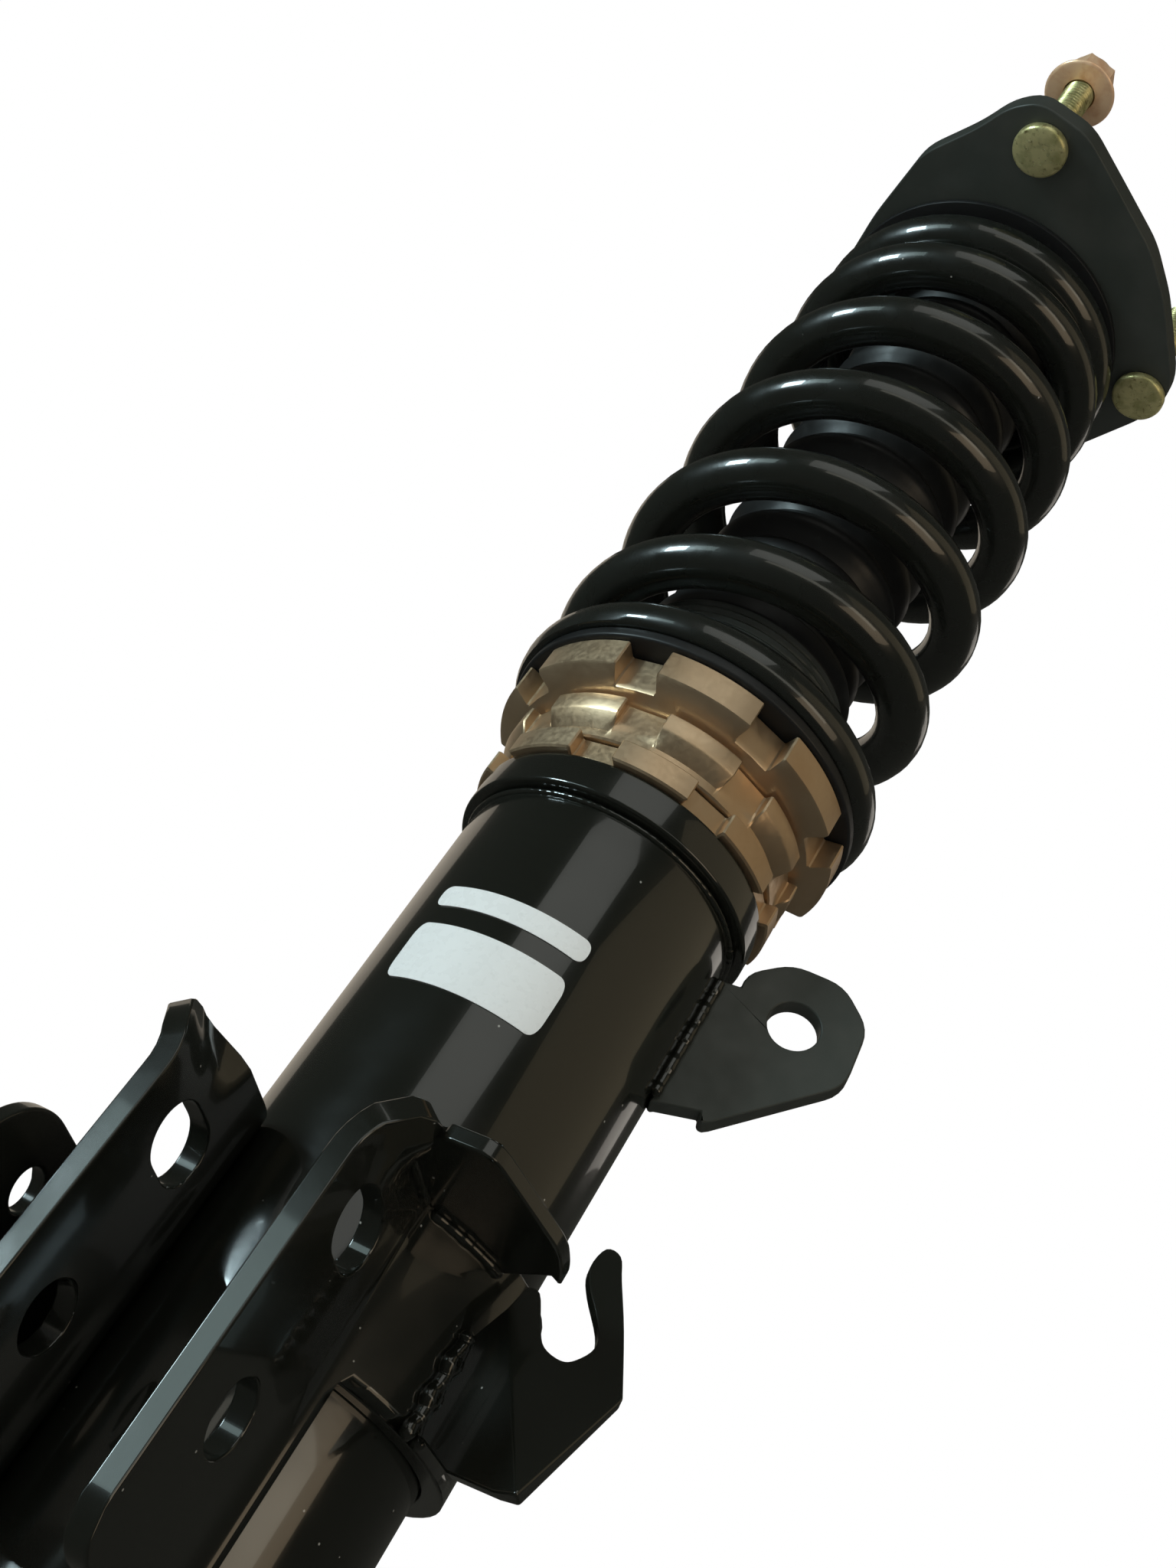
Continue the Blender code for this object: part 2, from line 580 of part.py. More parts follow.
def stud_place(place):
    radius, degrees = place
    a = math.radians(degrees)
    return Vector((radius * math.cos(a), radius * math.sin(a), 0))


def plate_outline():
    """A three-cornered plate with blunt corners outside the studs, bowed out between them over the spring."""
    first = [(-3.7, -59.0), (4.0, -65.8), (12.0, -68.5), (24.8, -61.8), (35.0, -47.5), (44.5, -34.0), (50.0, -20.0)]
    second = [(55.2, 2.0), (54.5, 9.0), (49.0, 16.5), (28.0, 34.0), (-5.0, 43.5)]
    third = [(-46.0, 42.0), (-57.0, 36.0), (-58.0, 25.0), (-30.5, -29.8)]
    return rounded([*first, *second, *third, (-18.0, -49.5)], 4)


def make_top_mount(mount, dark, zinc, coppery, rubber):
    bores = [circle(stud_place(place).xy, STUD_R + GAP, 16) for place in STUD_PLACES]
    centre = circle((0, 0), HOUSING_R + GAP, ROUND)
    plate = slab(plate_outline(), PLATE_LOW, PLATE_LOW + PLATE_H, [centre, *bores])
    add("top_plate", plate, dark, mount)
    for number, place in enumerate(STUD_PLACES, start=1):
        head_top = PLATE_LOW - GAP
        head_low = head_top - STUD_HEAD_H
        stud = [(0, head_low), (STUD_HEAD_R - 0.8, head_low), (STUD_HEAD_R, head_low + 0.8)]
        stud += [(STUD_HEAD_R, head_top), (STUD_R, head_top), (STUD_R, STUD_TOP - 1), (STUD_R - 1, STUD_TOP), (0, STUD_TOP)]
        bm = turned(stud, 16)
        add(f"mount_stud_{number}", moved(bm, Matrix.Translation(stud_place(place))), zinc, mount)
    low = NUT_BASE
    shift = Matrix.Translation(stud_place(STUD_PLACES[0]))
    bore = STUD_R + GAP
    hexagonal = slab(hexagon(NUT_AF), low + 1, low + NUT_H, [circle((0, 0), bore, 16)])
    nut = add("stud_nut", moved(hexagonal, shift), coppery, mount)
    flange = [(bore, low), (NUT_FLANGE_R, low), (NUT_FLANGE_R, low + 1.2), (bore, low + 3.2)]
    combine(nut, add("stud_nut_flange", moved(turned(flange, 24), shift), None, mount), "UNION")
    low, high = SPRING_TOP + GAP, PLATE_LOW - GAP
    outer = UPPER_SEAT_OUTER_R
    seat = [(SEAT_INNER_R, low), (outer, low), (outer, high), (SEAT_INNER_R, high)]
    add("upper_spring_seat", turned(seat), rubber, mount)


def make_rod_end(rod, steel, knob_metal):
    bore = circle((0, 0), ROD_STUD_R + GAP, SMALL_ROUND)
    add("top_nut", slab(hexagon(TOP_NUT_AF), TOP_NUT_LOW, TOP_NUT_HIGH, [bore]), steel, rod)
    adjuster = assembly("adjuster")
    low = ROD_TOP + GAP
    knob = [(0, low), (KNOB_R, low), (KNOB_R, KNOB_TOP - 1.5), (KNOB_R - 1.5, KNOB_TOP), (0, KNOB_TOP)]
    piece = add("adjuster_knob", turned(knob, 24), knob_metal, adjuster)
    bore = NEEDLE_R + GAP
    hollow = turned([(0, low - 5), (bore, low - 5), (bore, low + 5), (0, low + 5)], 16)
    socket = add("needle_socket", hollow, None, adjuster)
    combine(piece, socket, "DIFFERENCE")
    needle = [(0, 176), (1.2, 176), (NEEDLE_R, 184), (NEEDLE_R, low + 4.5), (0, low + 4.5)]
    add("adjuster_needle", turned(needle, 16), steel, adjuster)


def clear_scene():
    for obj in list(bpy.data.objects):
        bpy.data.objects.remove(obj)


def main():
    clear_scene()
    gloss_black = material("gloss_black_paint", (0.012, 0.011, 0.010), 0.12, 0.0)
    satin_black = material("satin_black", (0.035, 0.034, 0.032), 0.42, 0.3)
    champagne = material("champagne_anodised", (0.50, 0.40, 0.28), 0.34, 1.0)
    rubber = material("rubber", (0.02, 0.02, 0.02), 0.7, 0.0)
    chrome = material("hard_chrome", (0.75, 0.75, 0.76), 0.08, 1.0)
    steel = material("bright_steel", (0.55, 0.55, 0.56), 0.3, 1.0)
    aluminium = material("turned_aluminium", (0.72, 0.72, 0.73), 0.35, 1.0)
    yellow_zinc = material("yellow_zinc", (0.55, 0.47, 0.20), 0.35, 1.0)
    coppery_zinc = material("coppery_zinc", (0.62, 0.40, 0.22), 0.35, 1.0)
    foam = material("bump_foam", (0.85, 0.72, 0.25), 0.8, 0.0)

    shell = assembly("lower_shell")
    damper = assembly("damper")
    gas = assembly("gas_piston")
    rod = assembly("rod")
    mount = assembly("top_mount")
    make_shell(shell, gloss_black)
    make_bracket(shell, gloss_black)
    make_gusset(shell, gloss_black)
    make_link_tab(shell, satin_black)
    make_hose_bracket(shell, gloss_black)
    make_side_tab(shell, gloss_black)
    make_rings(shell, damper, champagne, rubber)
    make_spring(damper, gloss_black)
    make_damper(damper, aluminium, satin_black, rubber)
    make_floating_piston(gas, aluminium, rubber)
    make_rod(rod, chrome, steel, aluminium, rubber)
    make_boot(damper, rubber)
    make_bump_stop(rod, foam, steel)
    make_ball_joint(rod, mount, steel, satin_black)
    make_top_mount(mount, satin_black, yellow_zinc, coppery_zinc, rubber)
    make_rod_end(rod, steel, champagne)


main()
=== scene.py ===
"""The looks of the coilover strut: detailed pieces, materials, floor, lights and camera.

Lengths are in millimetres and turn into metres as each mesh is made. The strut's axis is Z.
"""

import math
import random

import bmesh
import bpy
import numpy as np
from mathutils import Matrix, Vector


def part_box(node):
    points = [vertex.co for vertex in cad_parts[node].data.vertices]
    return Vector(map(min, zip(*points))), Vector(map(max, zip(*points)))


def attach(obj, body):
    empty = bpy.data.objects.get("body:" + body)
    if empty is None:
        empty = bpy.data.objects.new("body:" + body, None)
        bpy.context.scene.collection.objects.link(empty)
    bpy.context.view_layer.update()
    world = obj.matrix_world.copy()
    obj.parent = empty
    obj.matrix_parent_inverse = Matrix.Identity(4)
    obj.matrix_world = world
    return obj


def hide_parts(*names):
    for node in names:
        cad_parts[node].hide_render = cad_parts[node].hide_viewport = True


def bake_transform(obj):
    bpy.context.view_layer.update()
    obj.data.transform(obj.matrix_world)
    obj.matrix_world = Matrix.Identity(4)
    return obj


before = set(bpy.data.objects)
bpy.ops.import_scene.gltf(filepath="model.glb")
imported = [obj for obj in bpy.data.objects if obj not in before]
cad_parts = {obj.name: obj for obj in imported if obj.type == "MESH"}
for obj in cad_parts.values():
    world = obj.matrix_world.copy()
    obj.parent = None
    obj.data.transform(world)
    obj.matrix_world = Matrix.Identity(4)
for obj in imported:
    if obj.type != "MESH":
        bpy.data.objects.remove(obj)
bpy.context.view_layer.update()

MM = 0.001
random.seed(7)

# Looks that are common to many pieces
EDGE = 0.4  # the usual broken edge
GAP = 0.3  # clearance between neighbouring pieces
FINE = 144  # facets round a large turned piece
SMALL = 64

# Bores that several pieces share
SHELL_BORE_R = 27.2
THREAD_BORE_R = 26.8
ROD_BORE_R = 11.3
STUD_BORE_R = 4.2
SEAT_INNER_R = 30.6
WELD_BEAD = 0.65  # how far the tube's top bead stands out

# Collars
NOTCHES = 8
NOTCH_WIDTH = 9.5
SHELL_RING = {"notch_floor": 31.2, "phase": -5.5}
LOCK_RING = {"notch_floor": 32.2, "phase": 3.0}
PERCH = {"notch_floor": 35.3, "phase": -4.1}

# Spring
WIRE_D = 12.0
COIL_MEAN_R = 37.0
COIL_TAPER = {"start": 4.2, "turns": 2.3, "drop": 2.0}  # the top coils are a little smaller
SPRING_TURNS = 7.0
SPRING_PHASE = 110.0  # azimuth of the lower end
PITCH = 32.6
LOW_END = {"pitch": 5.0, "closed": 0.52, "ease": 0.4}
HIGH_END = {"pitch": 12.6, "closed": 0.64, "ease": 2.0}
LOW_END_RISE = 1.3  # how far the lower end's centre stands above the ground face
SOLID_PITCH = 12.1  # the pitch at which the coils would touch

# Bracket
FLANGE_GAP = 30.0
SHEET_T = 4.2
BOLT_Y = -47.0
BOLT_R = 6.0
UPPER_BOLT_Z = 66.0
LOWER_BOLT_Z = 33.5
LIP_REACH = 5.6
WRAP_LOW = 50.0
WRAP_BAND = (-52.0, 200.0)  # angles between which the wrap is only a band above WRAP_LOW


def span(node):
    """A node's lowest and highest height."""
    low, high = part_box(node)
    return low[2] / MM, high[2] / MM


def reach(node):
    """How far a turned node's surface stands from the strut's axis."""
    low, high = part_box(node)
    return max(-low[0], high[0]) / MM


def tube_radius():
    return reach("lower_shell_tube") - WELD_BEAD


def ease(x):
    """A smooth step from 0 to 1."""
    x = min(max(x, 0.0), 1.0)
    return x * x * (3 - 2 * x)


# Outlines

def arc(centre, radius, start, end, steps):
    """Points on an arc from one angle to another, in degrees, both ends included."""
    angles = [math.radians(start + (end - start) * k / steps) for k in range(steps + 1)]
    return [(centre[0] + radius * math.cos(a), centre[1] + radius * math.sin(a)) for a in angles]


def circle(centre, radius, steps=48):
    return arc(centre, radius, 0, 360, steps)[:-1]


def rounded(points, radius=EDGE, steps=3):
    """A closed outline with eased corners; a corner on the axis stays as it is."""
    corners = [Vector(p) for p in points]
    out = []
    for before, corner, after in zip(corners[-1:] + corners[:-1], corners, corners[1:] + corners[:1]):
        if abs(corner.x) < 1e-6:
            out.append((0.0, corner.y))
            continue
        start = corner + (before - corner).normalized() * min(radius, (before - corner).length * 0.45)
        end = corner + (after - corner).normalized() * min(radius, (after - corner).length * 0.45)
        for k in range(steps + 1):
            t = k / steps
            point = start * (1 - t) ** 2 + corner * 2 * t * (1 - t) + end * t ** 2
            out.append((point.x, point.y))
    return out


# Meshes

def turned(profile, segments=FINE, wobble=None):
    """A profile of (radius, height) points turned about Z. wobble(radius, height, angle) adds to it."""
    bm = bmesh.new()
    rings = []
    for radius, height in profile:
        ring = []
        for k in range(segments if radius > 0 else 1):
            angle = math.tau * k / segments
            r = radius + (wobble(radius, height, angle) if wobble and radius > 0 else 0)
            ring.append(bm.verts.new((r * math.cos(angle), r * math.sin(angle), height)))
        rings.append(ring)
    if profile[0][0] > 0:
        rings.append(rings[0])
    bridge(bm, rings)
    return bm


def bridge(bm, rings, closed=True):
    """Faces between neighbouring rows of points; a row of one point is a pole."""
    count = max(len(ring) for ring in rings)
    for lower, upper in zip(rings, rings[1:]):
        for k in range(count if closed else count - 1):
            n = (k + 1) % count
            below = (lower[k % len(lower)], lower[n % len(lower)])
            above = (upper[n % len(upper)], upper[k % len(upper)])
            face = list(dict.fromkeys(below + above))
            if len(face) > 2:
                bm.faces.new(face)


def slab(outline, low, high, holes=()):
    """A flat plate between two heights, with its outline and holes drawn in XY."""
    bm = bmesh.new()
    edges = []
    for loop in (outline, *holes):
        verts = [bm.verts.new((x, y, low)) for x, y in loop]
        edges += [bm.edges.new(pair) for pair in zip(verts, verts[1:] + verts[:1])]
    bmesh.ops.triangle_fill(bm, use_beauty=True, edges=edges)
    grown = bmesh.ops.extrude_face_region(bm, geom=bm.faces[:], use_keep_orig=True)
    risen = [item for item in grown["geom"] if isinstance(item, bmesh.types.BMVert)]
    bmesh.ops.translate(bm, vec=(0, 0, high - low), verts=risen)
    return bm


def sweep(points, radii, sides, up):
    """A round section carried along a path. up(point) leans the section, so it never twists."""
    bm = bmesh.new()
    rings = []
    last = len(points) - 1
    for k, (point, radius) in enumerate(zip(points, radii)):
        tangent = (points[min(k + 1, last)] - points[max(k - 1, 0)]).normalized()
        side = tangent.cross(up(point)).normalized()
        lift = side.cross(tangent)
        turns = [math.tau * j / sides for j in range(sides)]
        spokes = [side * math.cos(a) + lift * math.sin(a) for a in turns]
        rings.append([bm.verts.new(point + spoke * radius) for spoke in spokes])
    bridge(bm, rings)
    bm.faces.new(rings[0])
    bm.faces.new(rings[-1])
    return bm


def radial_frame(azimuth):
    """Turns drawing axes X, Y, Z into outwards, up and sideways at an angle round the strut."""
    a = math.radians(azimuth)
    outwards = Vector((math.cos(a), math.sin(a), 0))
    sideways = Vector((math.sin(a), -math.cos(a), 0))
    return Matrix((outwards, Vector((0, 0, 1)), sideways)).transposed().to_4x4()


def along_x_frame():
    """Turns drawing axes X, Y, Z into Y, Z and X."""
    return Matrix(((0, 0, 1), (1, 0, 0), (0, 1, 0))).to_4x4()


def moved(bm, matrix):
    bmesh.ops.transform(bm, matrix=matrix, verts=bm.verts[:])
    return bm


def shape(name, bm, sharp=32):
    """One object of a mesh drawn in millimetres."""
    bmesh.ops.recalc_face_normals(bm, faces=bm.faces[:])
    bmesh.ops.scale(bm, vec=(MM, MM, MM), verts=bm.verts[:])
    mesh = bpy.data.meshes.new(name)
    bm.to_mesh(mesh)
    bm.free()
    mesh.shade_smooth()
    mesh.set_sharp_from_angle(angle=math.radians(sharp))
    obj = bpy.data.objects.new(name, mesh)
    bpy.context.collection.objects.link(obj)
    return obj


def bake(obj):
    """Turns an object's modifiers into its mesh."""
    bpy.context.view_layer.update()
    evaluated = obj.evaluated_get(bpy.context.evaluated_depsgraph_get())
    mesh = bpy.data.meshes.new_from_object(evaluated)
    obj.modifiers.clear()
    obj.data = mesh


def cut(obj, *cutters):
    """Takes the cutters away from an object, and the cutters go."""
    for cutter in cutters:
        modifier = obj.modifiers.new(cutter.name, "BOOLEAN")
        modifier.object = cutter
    bake(obj)
    for cutter in cutters:
        bpy.data.objects.remove(cutter)


def break_edges(obj, width=EDGE, segments=3):
    """Rounds an object's sharp edges."""
    modifier = obj.modifiers.new("Edges", "BEVEL")
    modifier.width = width * MM
    modifier.segments = segments
    modifier.limit_method = "ANGLE"
    modifier.angle_limit = math.radians(35)
    modifier.use_clamp_overlap = False
    modifier.harden_normals = True
    obj.data.shade_smooth()


def finish(obj, look, body, *nodes):
    """Gives a piece its material and the body it rides on, and hides the CAD nodes it stands for."""
    obj.data.materials.clear()
    obj.data.materials.append(FINISHES[look])
    if body:
        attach(obj, body)
    if nodes:
        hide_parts(*nodes)


# Materials

class Finish:
    """A material built from noise in the object's own coordinates."""

    def __init__(self, name, colour, roughness, metallic=0.0, specular=0.5, coat=0.0):
        self.material = bpy.data.materials.new(name)
        self.material.use_nodes = True
        self.tree = self.material.node_tree
        self.shader = self.tree.nodes["Principled BSDF"]
        self.shader.inputs["Base Color"].default_value = (*colour, 1)
        self.shader.inputs["Roughness"].default_value = roughness
        self.shader.inputs["Metallic"].default_value = metallic
        self.shader.inputs["Specular IOR Level"].default_value = specular
        self.shader.inputs["Coat Weight"].default_value = coat
        self.shader.inputs["Coat Roughness"].default_value = 0.04
        self.where = self.node("ShaderNodeTexCoord").outputs["Object"]
        self.bumps = []

    def node(self, kind, **inputs):
        node = self.tree.nodes.new(kind)
        for name, value in inputs.items():
            socket = node.inputs[name.replace("_", " ")]
            if isinstance(value, bpy.types.NodeSocket):
                self.tree.links.new(value, socket)
            else:
                socket.default_value = value
        return node

    def noise(self, size, detail=2.0, stretch=None):
        """Noise whose spots are about this size in millimetres."""
        where = self.where
        if stretch:
            where = self.node("ShaderNodeMapping", Vector=where, Scale=stretch).outputs["Vector"]
        scale = 1 / (size * MM)
        return self.node("ShaderNodeTexNoise", Vector=where, Scale=scale, Detail=detail).outputs["Fac"]

    def spots(self, size):
        """Distance to the middle of cells of about this size."""
        return self.node("ShaderNodeTexVoronoi", Vector=self.where, Scale=1 / (size * MM)).outputs["Distance"]

    def ramp(self, value, low, high, start=0.0, end=1.0):
        """Turns low to high of a value into start to end."""
        limits = {"From_Min": low, "From_Max": high, "To_Min": start, "To_Max": end}
        return self.node("ShaderNodeMapRange", Value=value, **limits).outputs["Result"]

    def tint(self, value, colour):
        """Mixes a colour in where value is high."""
        mix = self.tree.nodes.new("ShaderNodeMix")
        mix.data_type = "RGBA"
        self.tree.links.new(value, mix.inputs[0])
        base = self.shader.inputs["Base Color"]
        if base.links:
            self.tree.links.new(base.links[0].from_socket, mix.inputs[6])
        else:
            mix.inputs[6].default_value = base.default_value
        mix.inputs[7].default_value = (*colour, 1)
        self.tree.links.new(mix.outputs[2], base)

    def roughen(self, value):
        self.tree.links.new(value, self.shader.inputs["Roughness"])

    def bump(self, value, height):
        """Raises the surface by up to this many millimetres where value is high."""
        node = self.node("ShaderNodeBump", Height=value, Strength=1.0, Distance=height * MM)
        normal = self.shader.inputs["Normal"]
        if normal.links:
            self.tree.links.new(normal.links[0].from_socket, node.inputs["Normal"])
        self.tree.links.new(node.outputs["Normal"], normal)


def gloss_black_paint():
    paint = Finish("gloss_black_paint", (0.0080, 0.0087, 0.0066), 0.16, specular=0.5, coat=1.0)
    paint.roughen(paint.ramp(paint.noise(18), 0.3, 0.7, 0.12, 0.24))
    paint.bump(paint.noise(2.6, 1.0), 0.012)
    paint.bump(paint.noise(0.5, 1.0), 0.0015)
    paint.tint(paint.ramp(paint.spots(7.0), 0.035, 0.025), (0.32, 0.31, 0.28))
    return paint


def spring_paint():
    paint = Finish("spring_paint", (0.0085, 0.0096, 0.0075), 0.2, specular=0.55, coat=1.0)
    paint.roughen(paint.ramp(paint.noise(9), 0.3, 0.7, 0.2, 0.34))
    paint.bump(paint.noise(2.2, 2.0), 0.03)
    paint.bump(paint.noise(0.4, 1.0), 0.002)
    paint.tint(paint.ramp(paint.spots(9.0), 0.03, 0.02), (0.3, 0.29, 0.27))
    return paint


def satin_black():
    coat = Finish("satin_black", (0.034, 0.039, 0.033), 0.45, metallic=0.1)
    coat.tint(coat.ramp(coat.noise(14, 3.0), 0.4, 0.75), (0.047, 0.050, 0.043))
    coat.roughen(coat.ramp(coat.noise(5), 0.3, 0.7, 0.4, 0.54))
    coat.bump(coat.noise(0.35, 2.0), 0.01)
    return coat


def champagne_anodised():
    skin = Finish("champagne_anodised", (0.74, 0.55, 0.36), 0.36, metallic=0.92)
    skin.tint(skin.ramp(skin.noise(12, 3.0), 0.45, 0.8), (0.66, 0.46, 0.28))
    skin.roughen(skin.ramp(skin.noise(1.2, 2.0), 0.3, 0.7, 0.32, 0.46))
    skin.bump(skin.noise(0.28, 2.0), 0.012)
    return skin


def rubber():
    skin = Finish("rubber", (0.012, 0.012, 0.012), 0.42, specular=0.4)
    skin.roughen(skin.ramp(skin.noise(6), 0.3, 0.7, 0.34, 0.52))
    skin.bump(skin.noise(0.6, 2.0), 0.01)
    skin.tint(skin.ramp(skin.noise(3, 4.0), 0.6, 0.8), (0.024, 0.024, 0.023))
    return skin


def hard_chrome():
    skin = Finish("hard_chrome", (0.74, 0.75, 0.76), 0.07, metallic=1.0)
    skin.roughen(skin.ramp(skin.noise(1.5, 2.0, (1, 1, 30)), 0.3, 0.7, 0.05, 0.1))
    skin.bump(skin.noise(0.5, 2.0, (1, 1, 12)), 0.0006)
    return skin


def bright_steel():
    skin = Finish("bright_steel", (0.52, 0.52, 0.53), 0.3, metallic=1.0)
    skin.roughen(skin.ramp(skin.noise(2, 3.0, (1, 1, 14)), 0.3, 0.7, 0.24, 0.38))
    skin.bump(skin.noise(0.8, 2.0, (1, 1, 20)), 0.004)
    skin.tint(skin.ramp(skin.noise(9, 3.0), 0.55, 0.8), (0.42, 0.42, 0.43))
    return skin


def turned_aluminium():
    skin = Finish("turned_aluminium", (0.68, 0.68, 0.69), 0.34, metallic=1.0)
    skin.roughen(skin.ramp(skin.noise(1.6, 2.0, (1, 1, 16)), 0.3, 0.7, 0.28, 0.42))
    skin.bump(skin.noise(0.6, 2.0, (1, 1, 18)), 0.005)
    return skin


def yellow_zinc():
    skin = Finish("yellow_zinc", (0.74, 0.68, 0.34), 0.34, metallic=0.75)
    skin.tint(skin.ramp(skin.noise(3.5, 3.0), 0.45, 0.7), (0.44, 0.42, 0.18))
    skin.tint(skin.ramp(skin.noise(1.4, 4.0), 0.58, 0.75), (0.22, 0.18, 0.07))
    skin.roughen(skin.ramp(skin.noise(1.5, 3.0), 0.3, 0.7, 0.25, 0.48))
    skin.bump(skin.noise(0.7, 3.0), 0.02)
    return skin


def coppery_zinc():
    skin = Finish("coppery_zinc", (0.98, 0.66, 0.42), 0.36, metallic=0.5)
    skin.tint(skin.ramp(skin.noise(3.0, 3.0), 0.45, 0.75), (0.80, 0.44, 0.24))
    skin.roughen(skin.ramp(skin.noise(1.5, 3.0), 0.3, 0.7, 0.28, 0.48))
    skin.bump(skin.noise(0.6, 3.0), 0.015)
    return skin


def bump_foam():
    skin = Finish("bump_foam", (0.80, 0.66, 0.20), 0.8, specular=0.3)
    skin.tint(skin.ramp(skin.spots(1.4), 0.5, 0.15), (0.66, 0.52, 0.13))
    skin.roughen(skin.ramp(skin.noise(3), 0.3, 0.7, 0.72, 0.9))
    skin.bump(skin.spots(1.4), 0.15)
    return skin


def white_print():
    ink = Finish("white_print", (0.80, 0.80, 0.79), 0.3)
    ink.tint(ink.ramp(ink.noise(1.2, 4.0), 0.62, 0.8), (0.70, 0.70, 0.69))
    ink.roughen(ink.ramp(ink.noise(2.0), 0.3, 0.7, 0.22, 0.36))
    ink.bump(ink.noise(0.5, 2.0), 0.004)
    return ink


def make_finishes():
    makers = (gloss_black_paint, spring_paint, satin_black, champagne_anodised, rubber, hard_chrome)
    makers += (bright_steel, turned_aluminium, yellow_zinc, coppery_zinc, bump_foam, white_print)
    return {maker.__name__: maker().material for maker in makers}


# Shell

def make_shell():
    low, high = span("lower_shell_tube")
    bead_h = 1.4
    top = high - bead_h
    outer, bore = tube_radius(), SHELL_BORE_R
    tube = rounded([(bore, low), (outer - 1.2, low), (outer, low + 1.2), (outer, high), (bore, high)], 0.3)
    obj = shape("shell_tube", turned(tube))
    finish(obj, "gloss_black_paint", "lower_shell", "lower_shell_tube")
    turns = np.linspace(0, math.tau, 361)
    bead_path = [Vector((outer * math.cos(a), outer * math.sin(a), top + bead_h / 2)) for a in turns]
    radii = [0.66 + 0.05 * math.sin(95 * a) + 0.04 * math.sin(11 * a) for a in turns]
    bead = shape("shell_top_bead", sweep(bead_path, radii, 10, lambda p: Vector((0, 0, 1))), 180)
    finish(bead, "gloss_black_paint", "lower_shell")
    low, high = span("shell_threaded_boss")
    bore, outer = THREAD_BORE_R, reach("shell_threaded_boss")
    boss = rounded([(bore, low), (outer, low), (outer, high), (bore, high)], 0.8, 5)
    obj = shape("threaded_boss", turned(boss))
    finish(obj, "gloss_black_paint", "lower_shell", "shell_threaded_boss")


def make_decal():
    """A plain mark printed on the tube: a thin bar above a thick one."""
    outer = tube_radius()
    skin, thick = 0.06, 0.16
    centre, width = -88.0, 62.0
    rows, columns = 16, 40
    bm = bmesh.new()
    for low, high in ((118.7, 132.2), (136.7, 141.7)):
        corner = 2.0
        half = width / 2
        outline = rounded([(-half, 0), (half, 0), (half, high - low), (-half, high - low)], corner * 2, 8)
        grids = []
        for radius in (outer + skin, outer + skin + thick):
            grid = []
            for i in range(rows + 1):
                z = (high - low) * (0.5 - 0.5 * math.cos(math.pi * i / rows))
                left, right = crossing_span(outline, z)
                row = []
                for j in range(columns + 1):
                    a = math.radians(centre + left + (right - left) * j / columns)
                    row.append(bm.verts.new((radius * math.cos(a), radius * math.sin(a), low + z)))
                grid.append(row)
            grids.append(grid)
            bridge(bm, grid, closed=False)
        inner, outside = grids
        for row in (0, -1):
            bridge(bm, [inner[row], outside[row]], closed=False)
        for column in (0, -1):
            bridge(bm, [[row[column] for row in inner], [row[column] for row in outside]], closed=False)
    obj = shape("tube_mark", bm)
    finish(obj, "white_print", "lower_shell")


def crossing_span(outline, height):
    """The leftmost and rightmost points of an outline at a height."""
    height = min(max(height, min(p[1] for p in outline) + 0.02), max(p[1] for p in outline) - 0.02)
    found = []
    for (x0, y0), (x1, y1) in zip(outline, outline[1:] + outline[:1]):
        if (y0 - height) * (y1 - height) <= 0 and y0 != y1:
            found.append(x0 + (x1 - x0) * (height - y0) / (y1 - y0))
    return min(found), max(found)


# Collars

def ring_outline(radius, ring, inset):
    """Points round a collar, as many at any radius; within the notch floor it is a plain circle."""
    half = NOTCH_WIDTH / 2 + inset
    floor = ring["notch_floor"] - inset
    soft = 0.35
    points = []
    for k in range(NOTCHES):
        turn = math.radians(ring["phase"] + 360 / NOTCHES * k)
        edge = math.asin(NOTCH_WIDTH / 2 / ring["notch_floor"])
        if radius > floor + 2 * soft:
            wall = math.sqrt(radius ** 2 - half ** 2)
            lip = math.sqrt(radius ** 2 - (half + soft) ** 2)
            right = [(floor, 0), (floor, half - soft), (floor + soft, half), (wall - soft, half)]
            right.append((lip, half + soft))
            land = math.asin((half + soft) / radius)
        else:
            angles = [0, edge - 0.012, edge, edge + 0.012, edge + 0.024]
            right = [(radius * math.cos(a), radius * math.sin(a)) for a in angles]
            land = edge + 0.024
        notch = [(x, -y) for x, y in right[:0:-1]] + right
        stop = math.tau / NOTCHES - land
        crest = [(radius * math.cos(a), radius * math.sin(a)) for a in np.linspace(land, stop, 12)[1:-1]]
        for x, y in notch + crest:
            points.append((x * math.cos(turn) - y * math.sin(turn), x * math.sin(turn) + y * math.cos(turn)))
    return points


def collar(ring, levels, bore):
    """A notched collar with a plain bore. levels are (height, radius, inset), lowest first."""
    bm = bmesh.new()
    rows = []
    for height, radius, inset in levels:
        rows.append([bm.verts.new((x, y, height)) for x, y in ring_outline(radius, ring, inset)])
    bridge(bm, rows)
    count = len(rows[0])
    walls = []
    for height in (levels[0][0], levels[-1][0]):
        turns = [math.tau * k / count for k in range(count)]
        walls.append([bm.verts.new((bore * math.cos(a), bore * math.sin(a), height)) for a in turns])
    bridge(bm, walls)
    for outside, inside in ((rows[0], walls[0]), (rows[-1], walls[-1])):
        edges = []
        for loop in (outside, inside):
            edges += [bm.edges.get(pair) for pair in zip(loop, loop[1:] + loop[:1])]
        bmesh.ops.triangle_fill(bm, use_beauty=True, edges=edges)
    return bm


